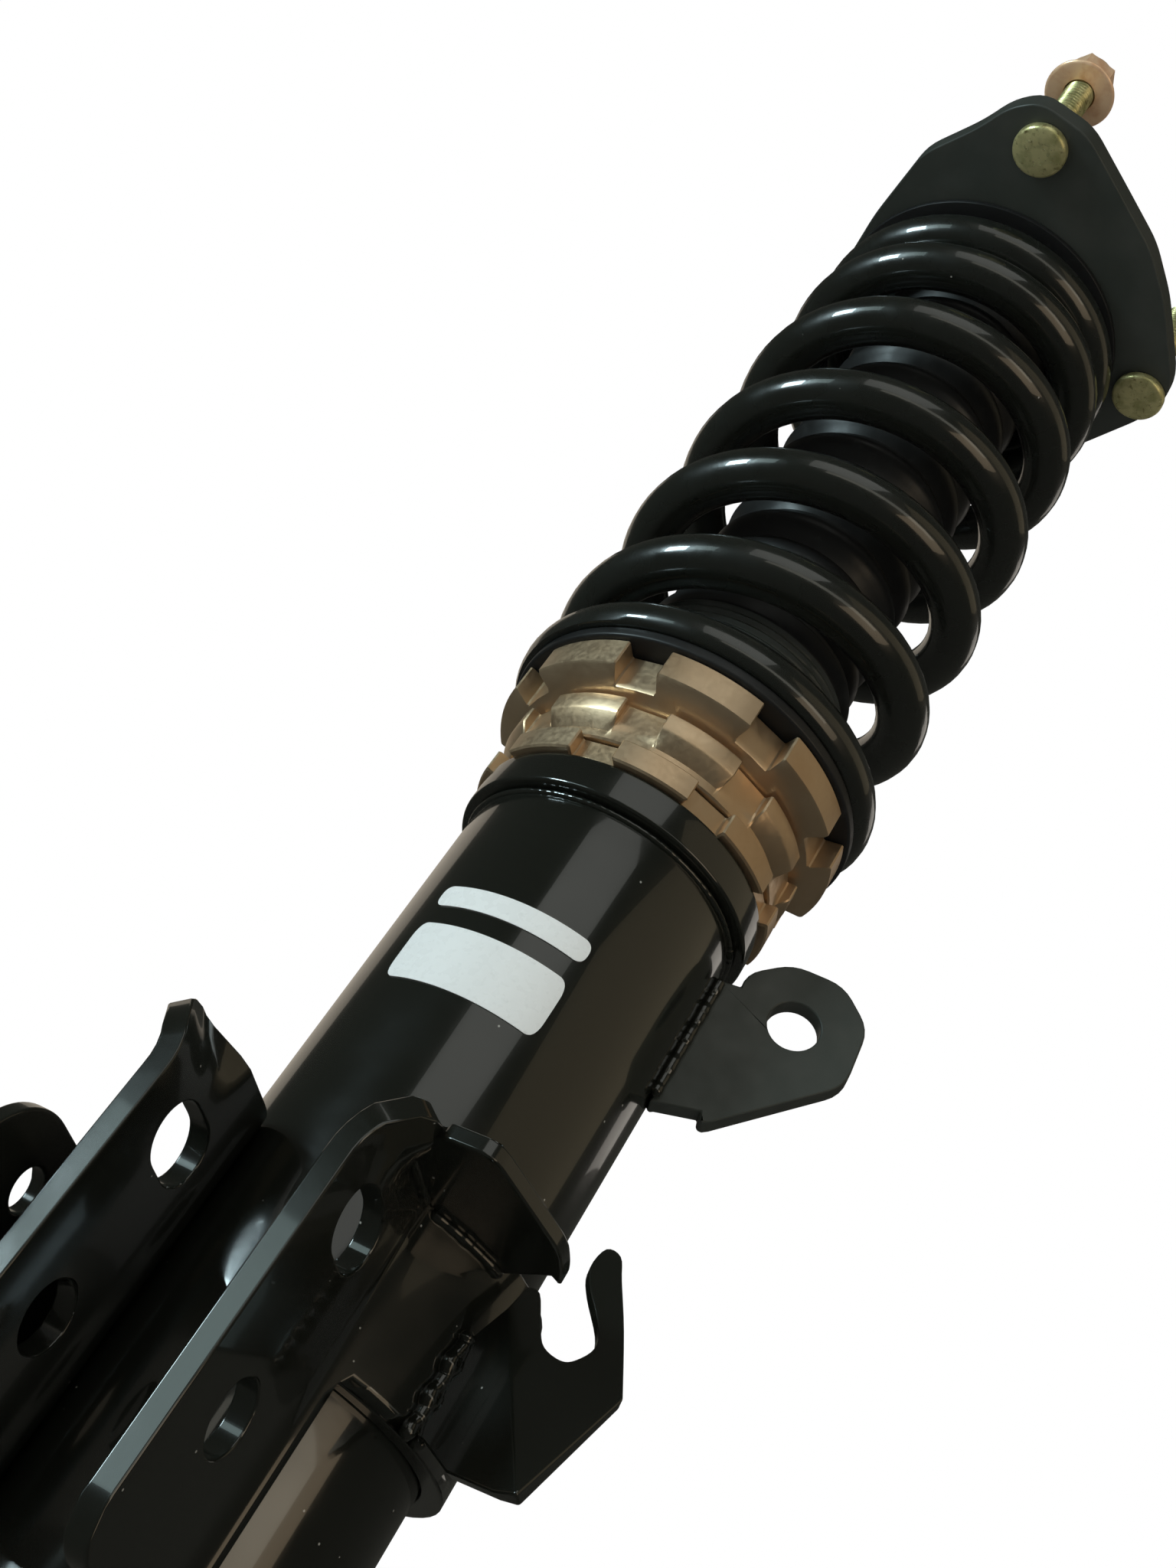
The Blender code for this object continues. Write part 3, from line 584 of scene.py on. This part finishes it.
def make_collars():
    bore = THREAD_BORE_R
    low, high = span("shell_lock_ring")
    r = reach("shell_lock_ring")
    levels = [(low, r - EDGE, EDGE), (low + EDGE, r, 0), (high - EDGE, r, 0), (high, r - EDGE, EDGE)]
    obj = shape("shell_collar", collar(SHELL_RING, levels, bore))
    finish(obj, "champagne_anodised", "shell_lock_ring", "shell_lock_ring")
    low, high = span("perch_lock_ring")
    r = reach("perch_lock_ring")
    core, foot, shoulder = LOCK_RING["notch_floor"], 186.4, 189.8
    levels = [(low, core - EDGE, EDGE), (low + EDGE, core, 0), (foot, core, 0), (foot + 1.2, core + 1.0, 0)]
    levels += [(shoulder - 0.3, r - 0.3, 0), (shoulder + 0.3, r, 0)]
    levels += [(high - EDGE, r, 0), (high, r - EDGE, EDGE)]
    obj = shape("perch_collar", collar(LOCK_RING, levels, bore))
    finish(obj, "champagne_anodised", "perch_lock_ring", "perch_lock_ring")
    low, spigot_top = span("spring_perch")
    high = span("lower_spring_seat")[0] - GAP
    r = reach("spring_perch")
    hub, cone_top = 31.4, 197.7
    floor = PERCH["notch_floor"]
    slope = (cone_top - low) / (r - hub)
    at_floor = low + (floor - hub) * slope
    levels = [(low, hub - 0.4, 0), (low + 0.2, hub, 0), (at_floor, floor, 0)]
    levels += [(at_floor + slope, floor + 1.0, 0), (cone_top - 0.15, r - 0.45, 0), (cone_top + 0.35, r, 0)]
    levels += [(high - EDGE, r, 0), (high, r - EDGE, EDGE)]
    obj = shape("perch", collar(PERCH, levels, bore))
    finish(obj, "champagne_anodised", "spring_perch", "spring_perch")
    spigot = 30.3
    foot = high - 1.0
    profile = rounded([(bore, foot), (spigot, foot), (spigot, spigot_top), (bore, spigot_top)], 0.6)
    finish(shape("perch_spigot", turned(profile)), "champagne_anodised", "spring_perch")
    low, high = span("lower_spring_seat")
    r = reach("lower_spring_seat")
    seat = rounded([(SEAT_INNER_R, low), (r, low), (r, high), (SEAT_INNER_R, high)], 0.7, 4)
    finish(shape("lower_seat", turned(seat)), "rubber", "damper", "lower_spring_seat")


# Spring

def risen(x):
    """The area under a smooth step, up to x."""
    return 0.0 if x < 0 else x - 0.5 if x > 1 else x ** 3 - x ** 4 / 2


def wire_height(turn):
    """How far the wire's centre has climbed after some turns: a closed end, an even pitch, a closing end."""
    lift = (PITCH - LOW_END["pitch"]) * LOW_END["ease"] * risen((turn - LOW_END["closed"]) / LOW_END["ease"])
    start = SPRING_TURNS - HIGH_END["closed"] - HIGH_END["ease"]
    slack = (PITCH - HIGH_END["pitch"]) * HIGH_END["ease"] * risen((turn - start) / HIGH_END["ease"])
    return LOW_END["pitch"] * turn + lift - slack


def slack_below(turn):
    """How far a place on the wire can sink before the coils under it lie on one another."""
    part = turn - math.floor(turn)
    return wire_height(turn) - SOLID_PITCH * turn - wire_height(part) + wire_height(1) * part


def make_spring():
    per_turn, sides = 72, 24
    low, high = span("main_spring")
    steps = round(SPRING_TURNS * per_turn)
    points = []
    weights = np.zeros((steps + 1) * sides, np.float32)
    for k in range(steps + 1):
        turn = SPRING_TURNS * k / steps
        angle = math.radians(SPRING_PHASE) + math.tau * turn
        r = COIL_MEAN_R - COIL_TAPER["drop"] * ease((turn - COIL_TAPER["start"]) / COIL_TAPER["turns"])
        height = low + LOW_END_RISE + wire_height(turn)
        points.append(Vector((r * math.cos(angle), r * math.sin(angle), height)))
        share = slack_below(turn) / slack_below(SPRING_TURNS)
        weights[k * sides:(k + 1) * sides] = min(max(share, 0), 1)
    bm = sweep(points, [WIRE_D / 2] * len(points), sides, lambda p: Vector((0, 0, 1)))
    for vert in bm.verts:
        vert.co.z = min(max(vert.co.z, low), high)
    obj = shape("coil_spring", bm, 50)
    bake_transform(obj)
    finish(obj, "spring_paint", None, "main_spring")


# Damper

def make_damper():
    low, high = span("damper_body")
    r = reach("damper_body")
    bore = 23.0
    pitch, depth, rows = 2.0, 0.75, 6
    plain = 124.0
    outer = [(r - 1, low), (r - 0.2, low + 1), (r - 0.2, plain)]
    count = round((high - 0.6 - plain) / pitch * rows)
    outer += [(r, plain + 0.4 + (high - 0.8 - plain) * k / count) for k in range(count + 1)]

    def thread(radius, height, angle):
        if radius != r:
            return 0.0
        fade = min(1.0, (height - plain) / 3.0)
        return -depth * fade * (0.5 - 0.5 * math.cos(math.tau * (height / pitch - angle / math.tau)))

    profile = [(0, low), *outer, (r - 0.7, high), (bore, high), (bore, low + 8), (0, low + 8)]
    obj = shape("threaded_body", turned(profile, 96, thread), 40)
    finish(obj, "satin_black", "damper", "damper_body")
    low, high = span("gland_cap")
    r = reach("gland_cap")
    lip = 236.3
    profile = [(ROD_BORE_R, low), (22.7, low), (22.7, lip), (r - 0.2, lip), (r, lip + 0.4), (r, high - 3.2)]
    profile += [(r - 0.8, high - 2.6), (r - 0.8, high - 1.4), (r - 2.2, high), (ROD_BORE_R, high)]
    finish(shape("dust_cap", turned(rounded(profile, 0.25, 2))), "rubber", "damper", "gland_cap")


def make_boot():
    low, high = span("dust_boot")
    r = reach("dust_boot")
    ribs, per_rib, wall, depth = 13, 10, 1.1, 2.9
    outside = []
    for k in range(ribs * per_rib + 1):
        phase = k / per_rib
        crest = (0.5 - 0.5 * math.cos(math.tau * phase)) ** 0.7
        outside.append((r - depth * (1 - crest), low + (high - low) * k / (ribs * per_rib)))
    inside = [(radius - wall, height) for radius, height in outside]
    obj = shape("bellows", turned(outside + inside[::-1], 96), 50)
    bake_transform(obj)
    finish(obj, "rubber", None, "dust_boot")


def make_bump_stop():
    low, high = span("bump_stop")
    r = reach("bump_stop")
    waist = (low + high) / 2
    profile = [(ROD_BORE_R, low), (13.0, low), (16.6, low + 6), (14.8, low + 12), (r - 0.6, waist - 2)]
    profile += [(r - 2.6, waist + 4), (r, waist + 10), (r, high), (ROD_BORE_R, high)]
    finish(shape("bump_rubber", turned(rounded(profile, 3.0, 5), SMALL)), "bump_foam", "rod", "bump_stop")


# Knuckle bracket

def bracket_path():
    """The sheet's middle line seen along the strut, from the right flange's free edge round to the left's."""
    side = FLANGE_GAP / 2 + SHEET_T / 2
    wrap = tube_radius() + GAP + SHEET_T / 2
    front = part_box("knuckle_bracket")[0][1] / MM
    meet = math.degrees(math.acos(side / wrap))
    bend = 5.0
    corner_y = -math.sqrt(wrap ** 2 - side ** 2)
    straight = [(side, y) for y in np.arange(front, corner_y - bend, 2.6)]
    around = arc((0, 0), wrap, -meet + 9, 180 + meet - 9, 48)
    start, corner, end = Vector((side, corner_y - bend)), Vector((side, corner_y)), Vector(around[0])
    curve = []
    for k in range(7):
        t = k / 7
        point = start * (1 - t) ** 2 + corner * 2 * t * (1 - t) + end * t ** 2
        curve.append((point.x, point.y))
    right = straight + curve
    return right + around + [(-x, y) for x, y in right[::-1]]


def sheet_ends(y, low, high, front):
    """The sheet's lowest and highest height at a distance in front of the strut."""
    share = min(max((y - front) / 9.0, 0), 1)
    drop = 7.0 * (1 - math.sqrt(max(0.0, 1 - (1 - share) ** 2)))
    return low + drop, high - drop


def make_bracket():
    low, high = span("knuckle_bracket")
    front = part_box("knuckle_bracket")[0][1] / MM
    path = bracket_path()
    rows = 30
    bm = bmesh.new()
    columns = []
    for x, y in path:
        foot, top = sheet_ends(y, low, high, front)
        column = []
        for k in range(rows + 1):
            z = foot + (top - foot) * k / rows
            curl = min(max(0.0, (z - 70) / 12) ** 2, 1.2) * ease((-43 - y) / 11) * LIP_REACH
            column.append(bm.verts.new((x + math.copysign(curl, x), y, z)))
        columns.append(column)
    bridge(bm, columns, closed=False)
    bracket = shape("bracket", bm, 180)
    solid = bracket.modifiers.new("Sheet", "SOLIDIFY")
    solid.thickness = SHEET_T * MM
    solid.offset = 0
    bake(bracket)
    far = 60.0
    half = 2.3
    upper = arc((BOLT_Y + half, UPPER_BOLT_Z), BOLT_R, -90, 90, 20)
    upper += arc((BOLT_Y - half, UPPER_BOLT_Z), BOLT_R, 90, 270, 20)
    lower = circle((BOLT_Y, LOWER_BOLT_Z), BOLT_R, 40)
    cutters = []
    for name, outline in (("upper_bolt", upper), ("lower_bolt", lower)):
        cutters.append(shape(name, moved(slab(outline, -far, far), along_x_frame())))
    start, end = WRAP_BAND
    opening = arc((0, 0), 40, start, end, 96) + arc((0, 0), 30.75, end, start, 96)
    cutters.append(shape("wrap_opening", slab(opening, low - 1, WRAP_LOW)))
    cut(bracket, *cutters)
    break_edges(bracket, 0.45)
    finish(bracket, "gloss_black_paint", "lower_shell", "knuckle_bracket")


def bead(name, points, radius, ripple):
    """A weld bead along a path: overlapping ripples, a little uneven, thin at both ends."""
    path = [Vector(p) for p in points]
    lengths = [0.0]
    for a, b in zip(path, path[1:]):
        lengths.append(lengths[-1] + (b - a).length)
    count = max(8, round(lengths[-1] / 0.35))
    centres, radii = [], []
    for k in range(count + 1):
        s = lengths[-1] * k / count
        i = max(j for j in range(len(path) - 1) if lengths[j] <= s + 1e-9)
        t = (s - lengths[i]) / (lengths[i + 1] - lengths[i])
        centres.append(path[i].lerp(path[i + 1], t))
        taper = min(1.0, 0.35 + min(s, lengths[-1] - s) / radius)
        wave = 0.9 + 0.09 * abs(math.sin(math.pi * s / ripple)) + 0.06 * math.sin(s * 0.9 + radius)
        wave += random.uniform(-0.02, 0.02)
        radii.append(radius * taper * wave)
    weld = sweep(centres, radii, 12, lambda p: Vector((p.x, p.y, 0)).normalized() + Vector((0, 0, 0.3)))
    finish(shape(name, weld, 180), "gloss_black_paint", "lower_shell")


def make_gusset():
    low, high = span("gusset_plate")
    side = FLANGE_GAP / 2 + SHEET_T + GAP
    seat = tube_radius() + GAP + SHEET_T + 0.2
    outer = rounded([(25, -56.5), (35.6, -57.2), (44.5, -34.5), (44, -27), (43, -22)], 3, 4)
    start = -math.degrees(math.acos(side / seat))
    outline = [(side, -52), *outer[1:], *arc((0, 0), seat, -28, start, 14)]
    obj = shape("gusset", slab(outline, low, high))
    break_edges(obj, 0.5)
    finish(obj, "gloss_black_paint", "lower_shell", "gusset_plate")
    z = low - 0.4
    bead("gusset_bead_flange", [(side, y, z) for y in (-50, -44, -38, -32)], 1.0, 2.7)
    turns = [math.radians(a) for a in range(-56, -27, 4)]
    wall = [(seat * math.cos(a), seat * math.sin(a), z) for a in turns]
    bead("gusset_bead_wrap", wall, 1.1, 3.1)


def make_link_tab():
    foot = tube_radius() + GAP
    azimuth = 12.6
    half = 2.25
    corners = [(34.6, 168.3), (42.1, 175.4), (53.2, 176.4), (61.4, 169.8), (62.5, 155.6), (40.9, 132.4)]
    outline = [(foot, 132.6), (foot, 164), *rounded(corners, 3.5, 4)]
    ear = slab(outline, -half, half, [circle((48.2, 162.4), 5.4)])
    obj = shape("link_ear", moved(ear, radial_frame(azimuth)))
    break_edges(obj, 0.45)
    finish(obj, "satin_black", "lower_shell", "link_tab")
    for name, across in (("front", -1), ("back", 1)):
        a = math.radians(azimuth)
        points = []
        for z in np.arange(133.5, 164.0, 2.0):
            wander = 0.4 * math.sin(z * 0.9)
            centre = Vector((math.cos(a), math.sin(a), 0)) * (foot + 0.3)
            centre += Vector((math.sin(a), -math.cos(a), 0)) * across * (half + 0.9 + wander * 0.5)
            points.append((centre.x, centre.y, z))
        bead(f"link_bead_{name}", points, 1.2, 2.6)


def make_hose_bracket():
    """A folded sheet: a base plate on the wrap and, past a diagonal fold, a plate with an open hook."""
    azimuth, thick = -25.4, 2.6
    top = Vector((39.4, 75.3, 0))
    toe = Vector((61.0, 47.4, 0))
    along = (toe - top).normalized()
    across = Vector((-along.y, along.x, 0))
    lifted = (across + Vector((0, 0, -1))) * math.sqrt(0.5)
    foot = 35.7
    base = [(foot, 68), (foot, 52), (39.3, 50.8), (46.5, 47.6), (56.9, 47.0)]
    hook = [(15, 18.1), (1.0, 19.8), (-10, 20.6), (-15.7, 21), (-17, 18.4), (-12.3, 15.1), (-7.1, 14.6)]
    hook += [(1, 15.3), (5.4, 14.2), (8.4, 10.8), (9.0, 8.2), (6.8, 5.6), (2.8, 5.3)]
    hook += [(-4.4, 5.6), (-5.4, 3.4)]
    hook = smooth_outline(hook)
    bm = bmesh.new()
    fold_top, fold_toe = bm.verts.new(top), bm.verts.new(toe)
    bm.faces.new([fold_top, *[bm.verts.new((x, y, 0)) for x, y in base], fold_toe])
    bm.faces.new([fold_toe, *[bm.verts.new(top + along * s + lifted * w) for s, w in hook], fold_top])
    obj = shape("hose_hook", moved(bm, radial_frame(azimuth)))
    solid = obj.modifiers.new("Sheet", "SOLIDIFY")
    solid.thickness = thick * MM
    solid.offset = 0
    solid.use_even_offset = True
    bake(obj)
    break_edges(obj, 0.4)
    finish(obj, "gloss_black_paint", "lower_shell", "hose_bracket")
    frame_of = radial_frame(azimuth)
    for name, shift in (("front", 1.6), ("back", -1.6)):
        path = [Vector((foot + 0.1, z, shift + 0.5 * math.sin(z))) for z in np.arange(50, 70.5, 2)]
        bead(f"hose_bead_{name}", [frame_of @ point for point in path], 1.5, 3.2)


def smooth_outline(points, steps=4):
    """A smooth open run through given points."""
    run = [Vector(p) for p in points]
    run = [run[0]] + run + [run[-1]]
    out = []
    for a, b, c, d in zip(run, run[1:], run[2:], run[3:]):
        for k in range(steps):
            t = k / steps
            square = (a * 2 - b * 5 + c * 4 - d) * t ** 2
            cube = (b * 3 - a - c * 3 + d) * t ** 3
            point = ((b * 2) + (c - a) * t + square + cube) / 2
            out.append((point.x, point.y))
    out.append((run[-1].x, run[-1].y))
    return out


def make_side_tab():
    low_corner, high_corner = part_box("side_tab")
    x_low, x_high = low_corner[0] / MM, high_corner[0] / MM
    end_y, mid_z, r = -59.5, 42.0, 14.5
    hole_y, hole_z, hole_r = -56.0, 46.0, 3.7
    foot_y = high_corner[1] / MM
    outline = [(foot_y, mid_z - r), (foot_y, mid_z + r), *arc((end_y, mid_z), r, 90, 270, 36)]
    hole = circle((hole_y, hole_z), hole_r, 40)
    obj = shape("clip_ear", moved(slab(outline, x_low, x_high, [hole]), along_x_frame()))
    break_edges(obj, 0.5)
    finish(obj, "gloss_black_paint", "lower_shell", "side_tab")
    rim = [(3.9, -2.4), (5.6, -2.4), (6.6, -1.5), (3.9, -1.5)]
    collar_bm = moved(turned(rounded(rim, 0.3), SMALL), along_x_frame())
    collar_bm = moved(collar_bm, Matrix.Translation((x_high + 1.45, hole_y, hole_z)))
    finish(shape("clip_ear_rim", collar_bm), "gloss_black_paint", "lower_shell")


# Top mount

def plate_outline():
    """A three-cornered plate with blunt corners outside the studs."""
    first = [(-3.7, -59.0), (4.0, -65.8), (12.0, -68.5), (24.8, -61.8), (35.0, -47.5), (44.5, -34.0)]
    second = [(50.0, -20.0), (55.2, 2.0), (54.5, 9.0), (49.0, 16.5), (28.0, 34.0), (-5.0, 43.5)]
    third = [(-46.0, 42.0), (-57.0, 36.0), (-58.0, 25.0), (-30.5, -29.8)]
    return rounded([*first, *second, *third, (-18.0, -49.5)], 4, 4)


def centre_of(node):
    low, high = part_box(node)
    return Vector(((low[0] + high[0]) / 2, (low[1] + high[1]) / 2, 0)) / MM


def make_top_mount():
    low, high = span("top_plate")
    studs = [f"mount_stud_{n}" for n in (1, 2, 3)]
    bores = [circle(centre_of(stud).xy, STUD_BORE_R, 32) for stud in studs]
    middle = circle((0, 0), 25.3, 96)
    obj = shape("plate", slab(plate_outline(), low, high, [middle, *bores]))
    break_edges(obj, 0.5)
    finish(obj, "satin_black", "top_mount", "top_plate")
    for number, stud in enumerate(studs, start=1):
        make_stud(number, stud, low)
    make_stud_nut()
    low, high = span("upper_spring_seat")
    r = reach("upper_spring_seat")
    seat = rounded([(SEAT_INNER_R, low), (r, low), (r, high), (SEAT_INNER_R, high)], 0.4)
    finish(shape("upper_seat", turned(seat)), "rubber", "top_mount", "upper_spring_seat")
    low, high = span("bearing_housing")
    flange_r, body_r, bore = reach("bearing_housing"), 25.0, 18.3
    deck = span("top_plate")[0] - GAP
    profile = [(16, deck - 3), (flange_r, deck - 3), (flange_r, deck), (body_r, deck), (body_r, high - 1)]
    profile += [(body_r - 1, high), (bore + 1.2, high), (bore, high - 1), (bore, low), (16, low)]
    finish(shape("housing", turned(rounded(profile, 0.4))), "satin_black", "top_mount", "bearing_housing")


def make_stud(number, node, plate_low):
    low, high = span(node)
    head_top = plate_low - GAP
    head_r = (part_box(node)[1][0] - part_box(node)[0][0]) / 2 / MM
    shank, pitch, depth, rows = 3.9, 1.25, 0.6, 6
    head = [(0, low + 0.1), (head_r * 0.45, low), (head_r - 0.9, low + 0.15), (head_r - 0.25, low + 0.6)]
    head += [(head_r, low + 1.3), (head_r, head_top - 0.4), (head_r - 0.3, head_top)]
    start = head_top + 7
    count = round((high - 1 - start) / pitch * rows)
    shaft = [(shank - 0.1, head_top), (shank - 0.1, start - 0.5)]
    shaft += [(shank, start + (high - 1 - start) * k / count) for k in range(count + 1)]

    def thread(radius, height, angle):
        if radius != shank:
            return 0.0
        return -depth * (0.5 - 0.5 * math.cos(math.tau * (height / pitch - angle / math.tau)))

    bm = turned([*head, *shaft, (shank - 1, high), (0, high)], 48, thread)
    obj = shape(f"stud_{number}", moved(bm, Matrix.Translation(centre_of(node))), 40)
    finish(obj, "yellow_zinc", "top_mount", node)


def hex_nut(across_flats, low, high, bore):
    """A six-sided nut with both ends turned to a cone."""
    bm = bmesh.new()
    corner = across_flats / 2 / math.cos(math.radians(30))
    rows = []
    end_r, cone_h = across_flats / 2 - 0.2, 0.9
    for height, limit in ((low, end_r), (low + cone_h, corner), (high - cone_h, corner), (high, end_r)):
        row = []
        for k in range(48):
            a = math.tau * k / 48
            flat = across_flats / 2 / math.cos((a + math.radians(30)) % math.radians(60) - math.radians(30))
            r = min(flat, limit)
            row.append(bm.verts.new((r * math.cos(a), r * math.sin(a), height)))
        rows.append(row)
    inner = []
    for height, r in ((high, bore + 0.7), (high - 0.7, bore), (low + 0.7, bore), (low, bore + 0.7)):
        turns = [math.tau * k / 48 for k in range(48)]
        inner.append([bm.verts.new((r * math.cos(a), r * math.sin(a), height)) for a in turns])
    bridge(bm, rows + inner + [rows[0]])
    return bm


def make_stud_nut():
    low, high = span("stud_nut")
    place = Matrix.Translation(centre_of("stud_nut"))
    flange_r = (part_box("stud_nut")[1][0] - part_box("stud_nut")[0][0]) / 2 / MM
    bm = moved(hex_nut(13.0, low + 1.6, high, STUD_BORE_R), place)
    obj = shape("flange_nut", bm)
    finish(obj, "coppery_zinc", "top_mount", "stud_nut")
    bore, skirt_top = STUD_BORE_R, low + 3.0
    flange = [(bore, low), (flange_r - 0.6, low), (flange_r, low + 0.5), (flange_r - 0.2, low + 1.2)]
    flange += [(6.6, skirt_top), (bore, skirt_top)]
    skirt = shape("flange_nut_skirt", moved(turned(rounded(flange, 0.3), SMALL), place))
    finish(skirt, "coppery_zinc", "top_mount")


def make_rod_end():
    low, high = span("top_nut")
    obj = shape("rod_nut", hex_nut(22.0, low, high, 7.3))
    finish(obj, "bright_steel", "rod", "top_nut")
    low, high = span("adjuster_knob")
    r = reach("adjuster_knob")

    def knurl(radius, height, angle):
        if radius < r - 0.01:
            return 0.0
        across = abs(((angle * 36 / math.tau) % 1) - 0.5) * 2
        return -0.45 * across

    rows = [(r, low + 1.2 + (high - low - 4.0) * k / 8) for k in range(9)]
    socket_r, socket_top = 2.9, low + 5
    profile = [(socket_r, low), (r - 0.8, low), (r - 0.05, low + 0.8), *rows, (r - 0.1, high - 2.4)]
    profile += [(r - 1.6, high - 0.6), (r - 2.4, high), (2.2, high), (1.9, high - 0.8), (0, high - 0.8)]
    profile += [(0, socket_top), (socket_r, socket_top)]
    finish(shape("knob", turned_open(profile, 216, knurl)), "champagne_anodised", "adjuster", "adjuster_knob")


def turned_open(profile, segments, wobble):
    """A turned piece whose profile starts and ends off the axis and touches it twice on the way."""
    bm = bmesh.new()
    rings = []
    for radius, height in profile:
        ring = []
        for k in range(segments if radius > 0 else 1):
            angle = math.tau * k / segments
            r = radius + (wobble(radius, height, angle) if radius > 0 else 0)
            ring.append(bm.verts.new((r * math.cos(angle), r * math.sin(angle), height)))
        rings.append(ring)
    split = [k for k, ring in enumerate(rings) if len(ring) == 1]
    bridge(bm, rings[:split[0] + 1])
    bridge(bm, rings[split[-1]:] + [rings[0]])
    return bm


# Stage

def make_floor():
    height = -27.0
    half = 40000.0
    bm = bmesh.new()
    verts = [bm.verts.new((x * half, y * half, height)) for x, y in ((-1, -1), (1, -1), (1, 1), (-1, 1))]
    bm.faces.new(verts)
    floor = shape("floor", bm)
    paper = Finish("pale_floor", (0.86, 0.86, 0.85), 0.9, specular=0.1)
    paper.bump(paper.noise(8, 2.0), 0.05)
    floor.data.materials.append(paper.material)
    floor.visible_glossy = False


def softbox(name, azimuth, middle_z, distance, width, height, power, colour, elevation=0.0):
    """A rectangular light at an angle round the strut; every length is in metres."""
    a, e = math.radians(azimuth), math.radians(elevation)
    direction = Vector((math.cos(a) * math.cos(e), math.sin(a) * math.cos(e), math.sin(e)))
    light = bpy.data.lights.new(name, "AREA")
    light.shape = "RECTANGLE"
    light.size = width
    light.size_y = height
    light.energy = power
    light.color = colour
    lamp = bpy.data.objects.new(name, light)
    bpy.context.collection.objects.link(lamp)
    lamp.location = Vector((0, 0, middle_z)) + direction * distance
    lamp.rotation_euler = direction.to_track_quat("Z", "Y").to_euler()


def make_lights():
    softbox("window", -131, 0.23, 1.55, 0.3, 0.42, 12, (0.72, 0.94, 1.0))
    softbox("teal_panel", -117, 0.3, 1.6, 0.35, 0.5, 0.9, (0.72, 0.96, 0.95))
    softbox("grey_panel", -77, 0.2, 1.8, 1.2, 1.2, 3.0, (0.96, 0.98, 0.92), 26)
    softbox("warm_wall", 0, 0.2, 1.9, 2.6, 1.0, 1.8, (1.0, 0.82, 0.52), 31)
    softbox("right_strip", 64, 0.2, 1.8, 0.5, 0.55, 0.5, (1.0, 0.93, 0.84), 32)
    softbox("left_rim", 141, 0.2, 1.8, 1.2, 1.0, 1.3, (1.0, 0.88, 0.72), 28)
    softbox("olive_fill", -50, 0.25, 1.9, 2.6, 0.34, 2.2, (1.0, 0.98, 0.84))
    softbox("low_warm_fill", -20, 0.3, 1.5, 0.8, 0.8, 2.0, (1.0, 0.78, 0.52), -12)
    make_ceiling()


def make_ceiling():
    """A broad light from straight above, which lights the floor evenly and stays out of reflections."""
    light = bpy.data.lights.new("ceiling", "SUN")
    light.energy = 1.6
    light.angle = math.radians(70)
    lamp = bpy.data.objects.new("ceiling", light)
    bpy.context.collection.objects.link(lamp)
    lamp.location = (0, 0, 2)
    lamp.visible_glossy = False


def make_world():
    """White to the eye, and a dim warm room in reflections."""
    world = bpy.data.worlds.new("studio")
    bpy.context.scene.world = world
    world.use_nodes = True
    tree = world.node_tree
    room = tree.nodes["Background"]
    room.inputs["Color"].default_value = (0.034, 0.034, 0.029, 1)
    paper = tree.nodes.new("ShaderNodeBackground")
    paper.inputs["Color"].default_value = (1, 1, 1, 1)
    path = tree.nodes.new("ShaderNodeLightPath")
    mix = tree.nodes.new("ShaderNodeMixShader")
    tree.links.new(path.outputs["Is Camera Ray"], mix.inputs["Fac"])
    tree.links.new(room.outputs["Background"], mix.inputs[1])
    tree.links.new(paper.outputs["Background"], mix.inputs[2])
    tree.links.new(mix.outputs["Shader"], tree.nodes["World Output"].inputs["Surface"])
    bpy.context.scene.view_settings.view_transform = "Standard"


def make_camera():
    """The camera stands low in front of the strut and looks up along it, rolled to one side."""
    eye = Vector((0.13102, -0.28617, -0.02235))
    forward = Vector((-0.38021, 0.73466, 0.56189))
    right = Vector((0.87508, 0.08723, 0.47607))
    camera = bpy.data.cameras.new("camera")
    camera.lens = 40.654
    camera.sensor_width = 36
    camera.clip_start = 0.01
    obj = bpy.data.objects.new("camera", camera)
    bpy.context.collection.objects.link(obj)
    up = right.cross(forward).normalized()
    side = forward.cross(up).normalized()
    turn = Matrix((side, up, -forward.normalized())).transposed()
    obj.matrix_world = Matrix.Translation(eye) @ turn.to_4x4()
    bpy.context.scene.camera = obj


def paint_carried_nodes():
    """CAD nodes that keep their own shape get the same finishes, by the name of their slot."""
    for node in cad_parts.values():
        for slot in node.material_slots:
            name = slot.material.name.split(".")[0]
            slot.material = FINISHES[name]


FINISHES = make_finishes()
SLOT_OF = {look: look for look in FINISHES if look != "white_print"}
SLOT_OF["spring_paint"] = "gloss_black_paint"
paint_carried_nodes()
make_shell()
make_decal()
make_collars()
make_spring()
make_damper()
make_boot()
make_bump_stop()
make_bracket()
make_gusset()
make_link_tab()
make_hose_bracket()
make_side_tab()
make_top_mount()
make_rod_end()
make_floor()
make_lights()
make_world()
make_camera()
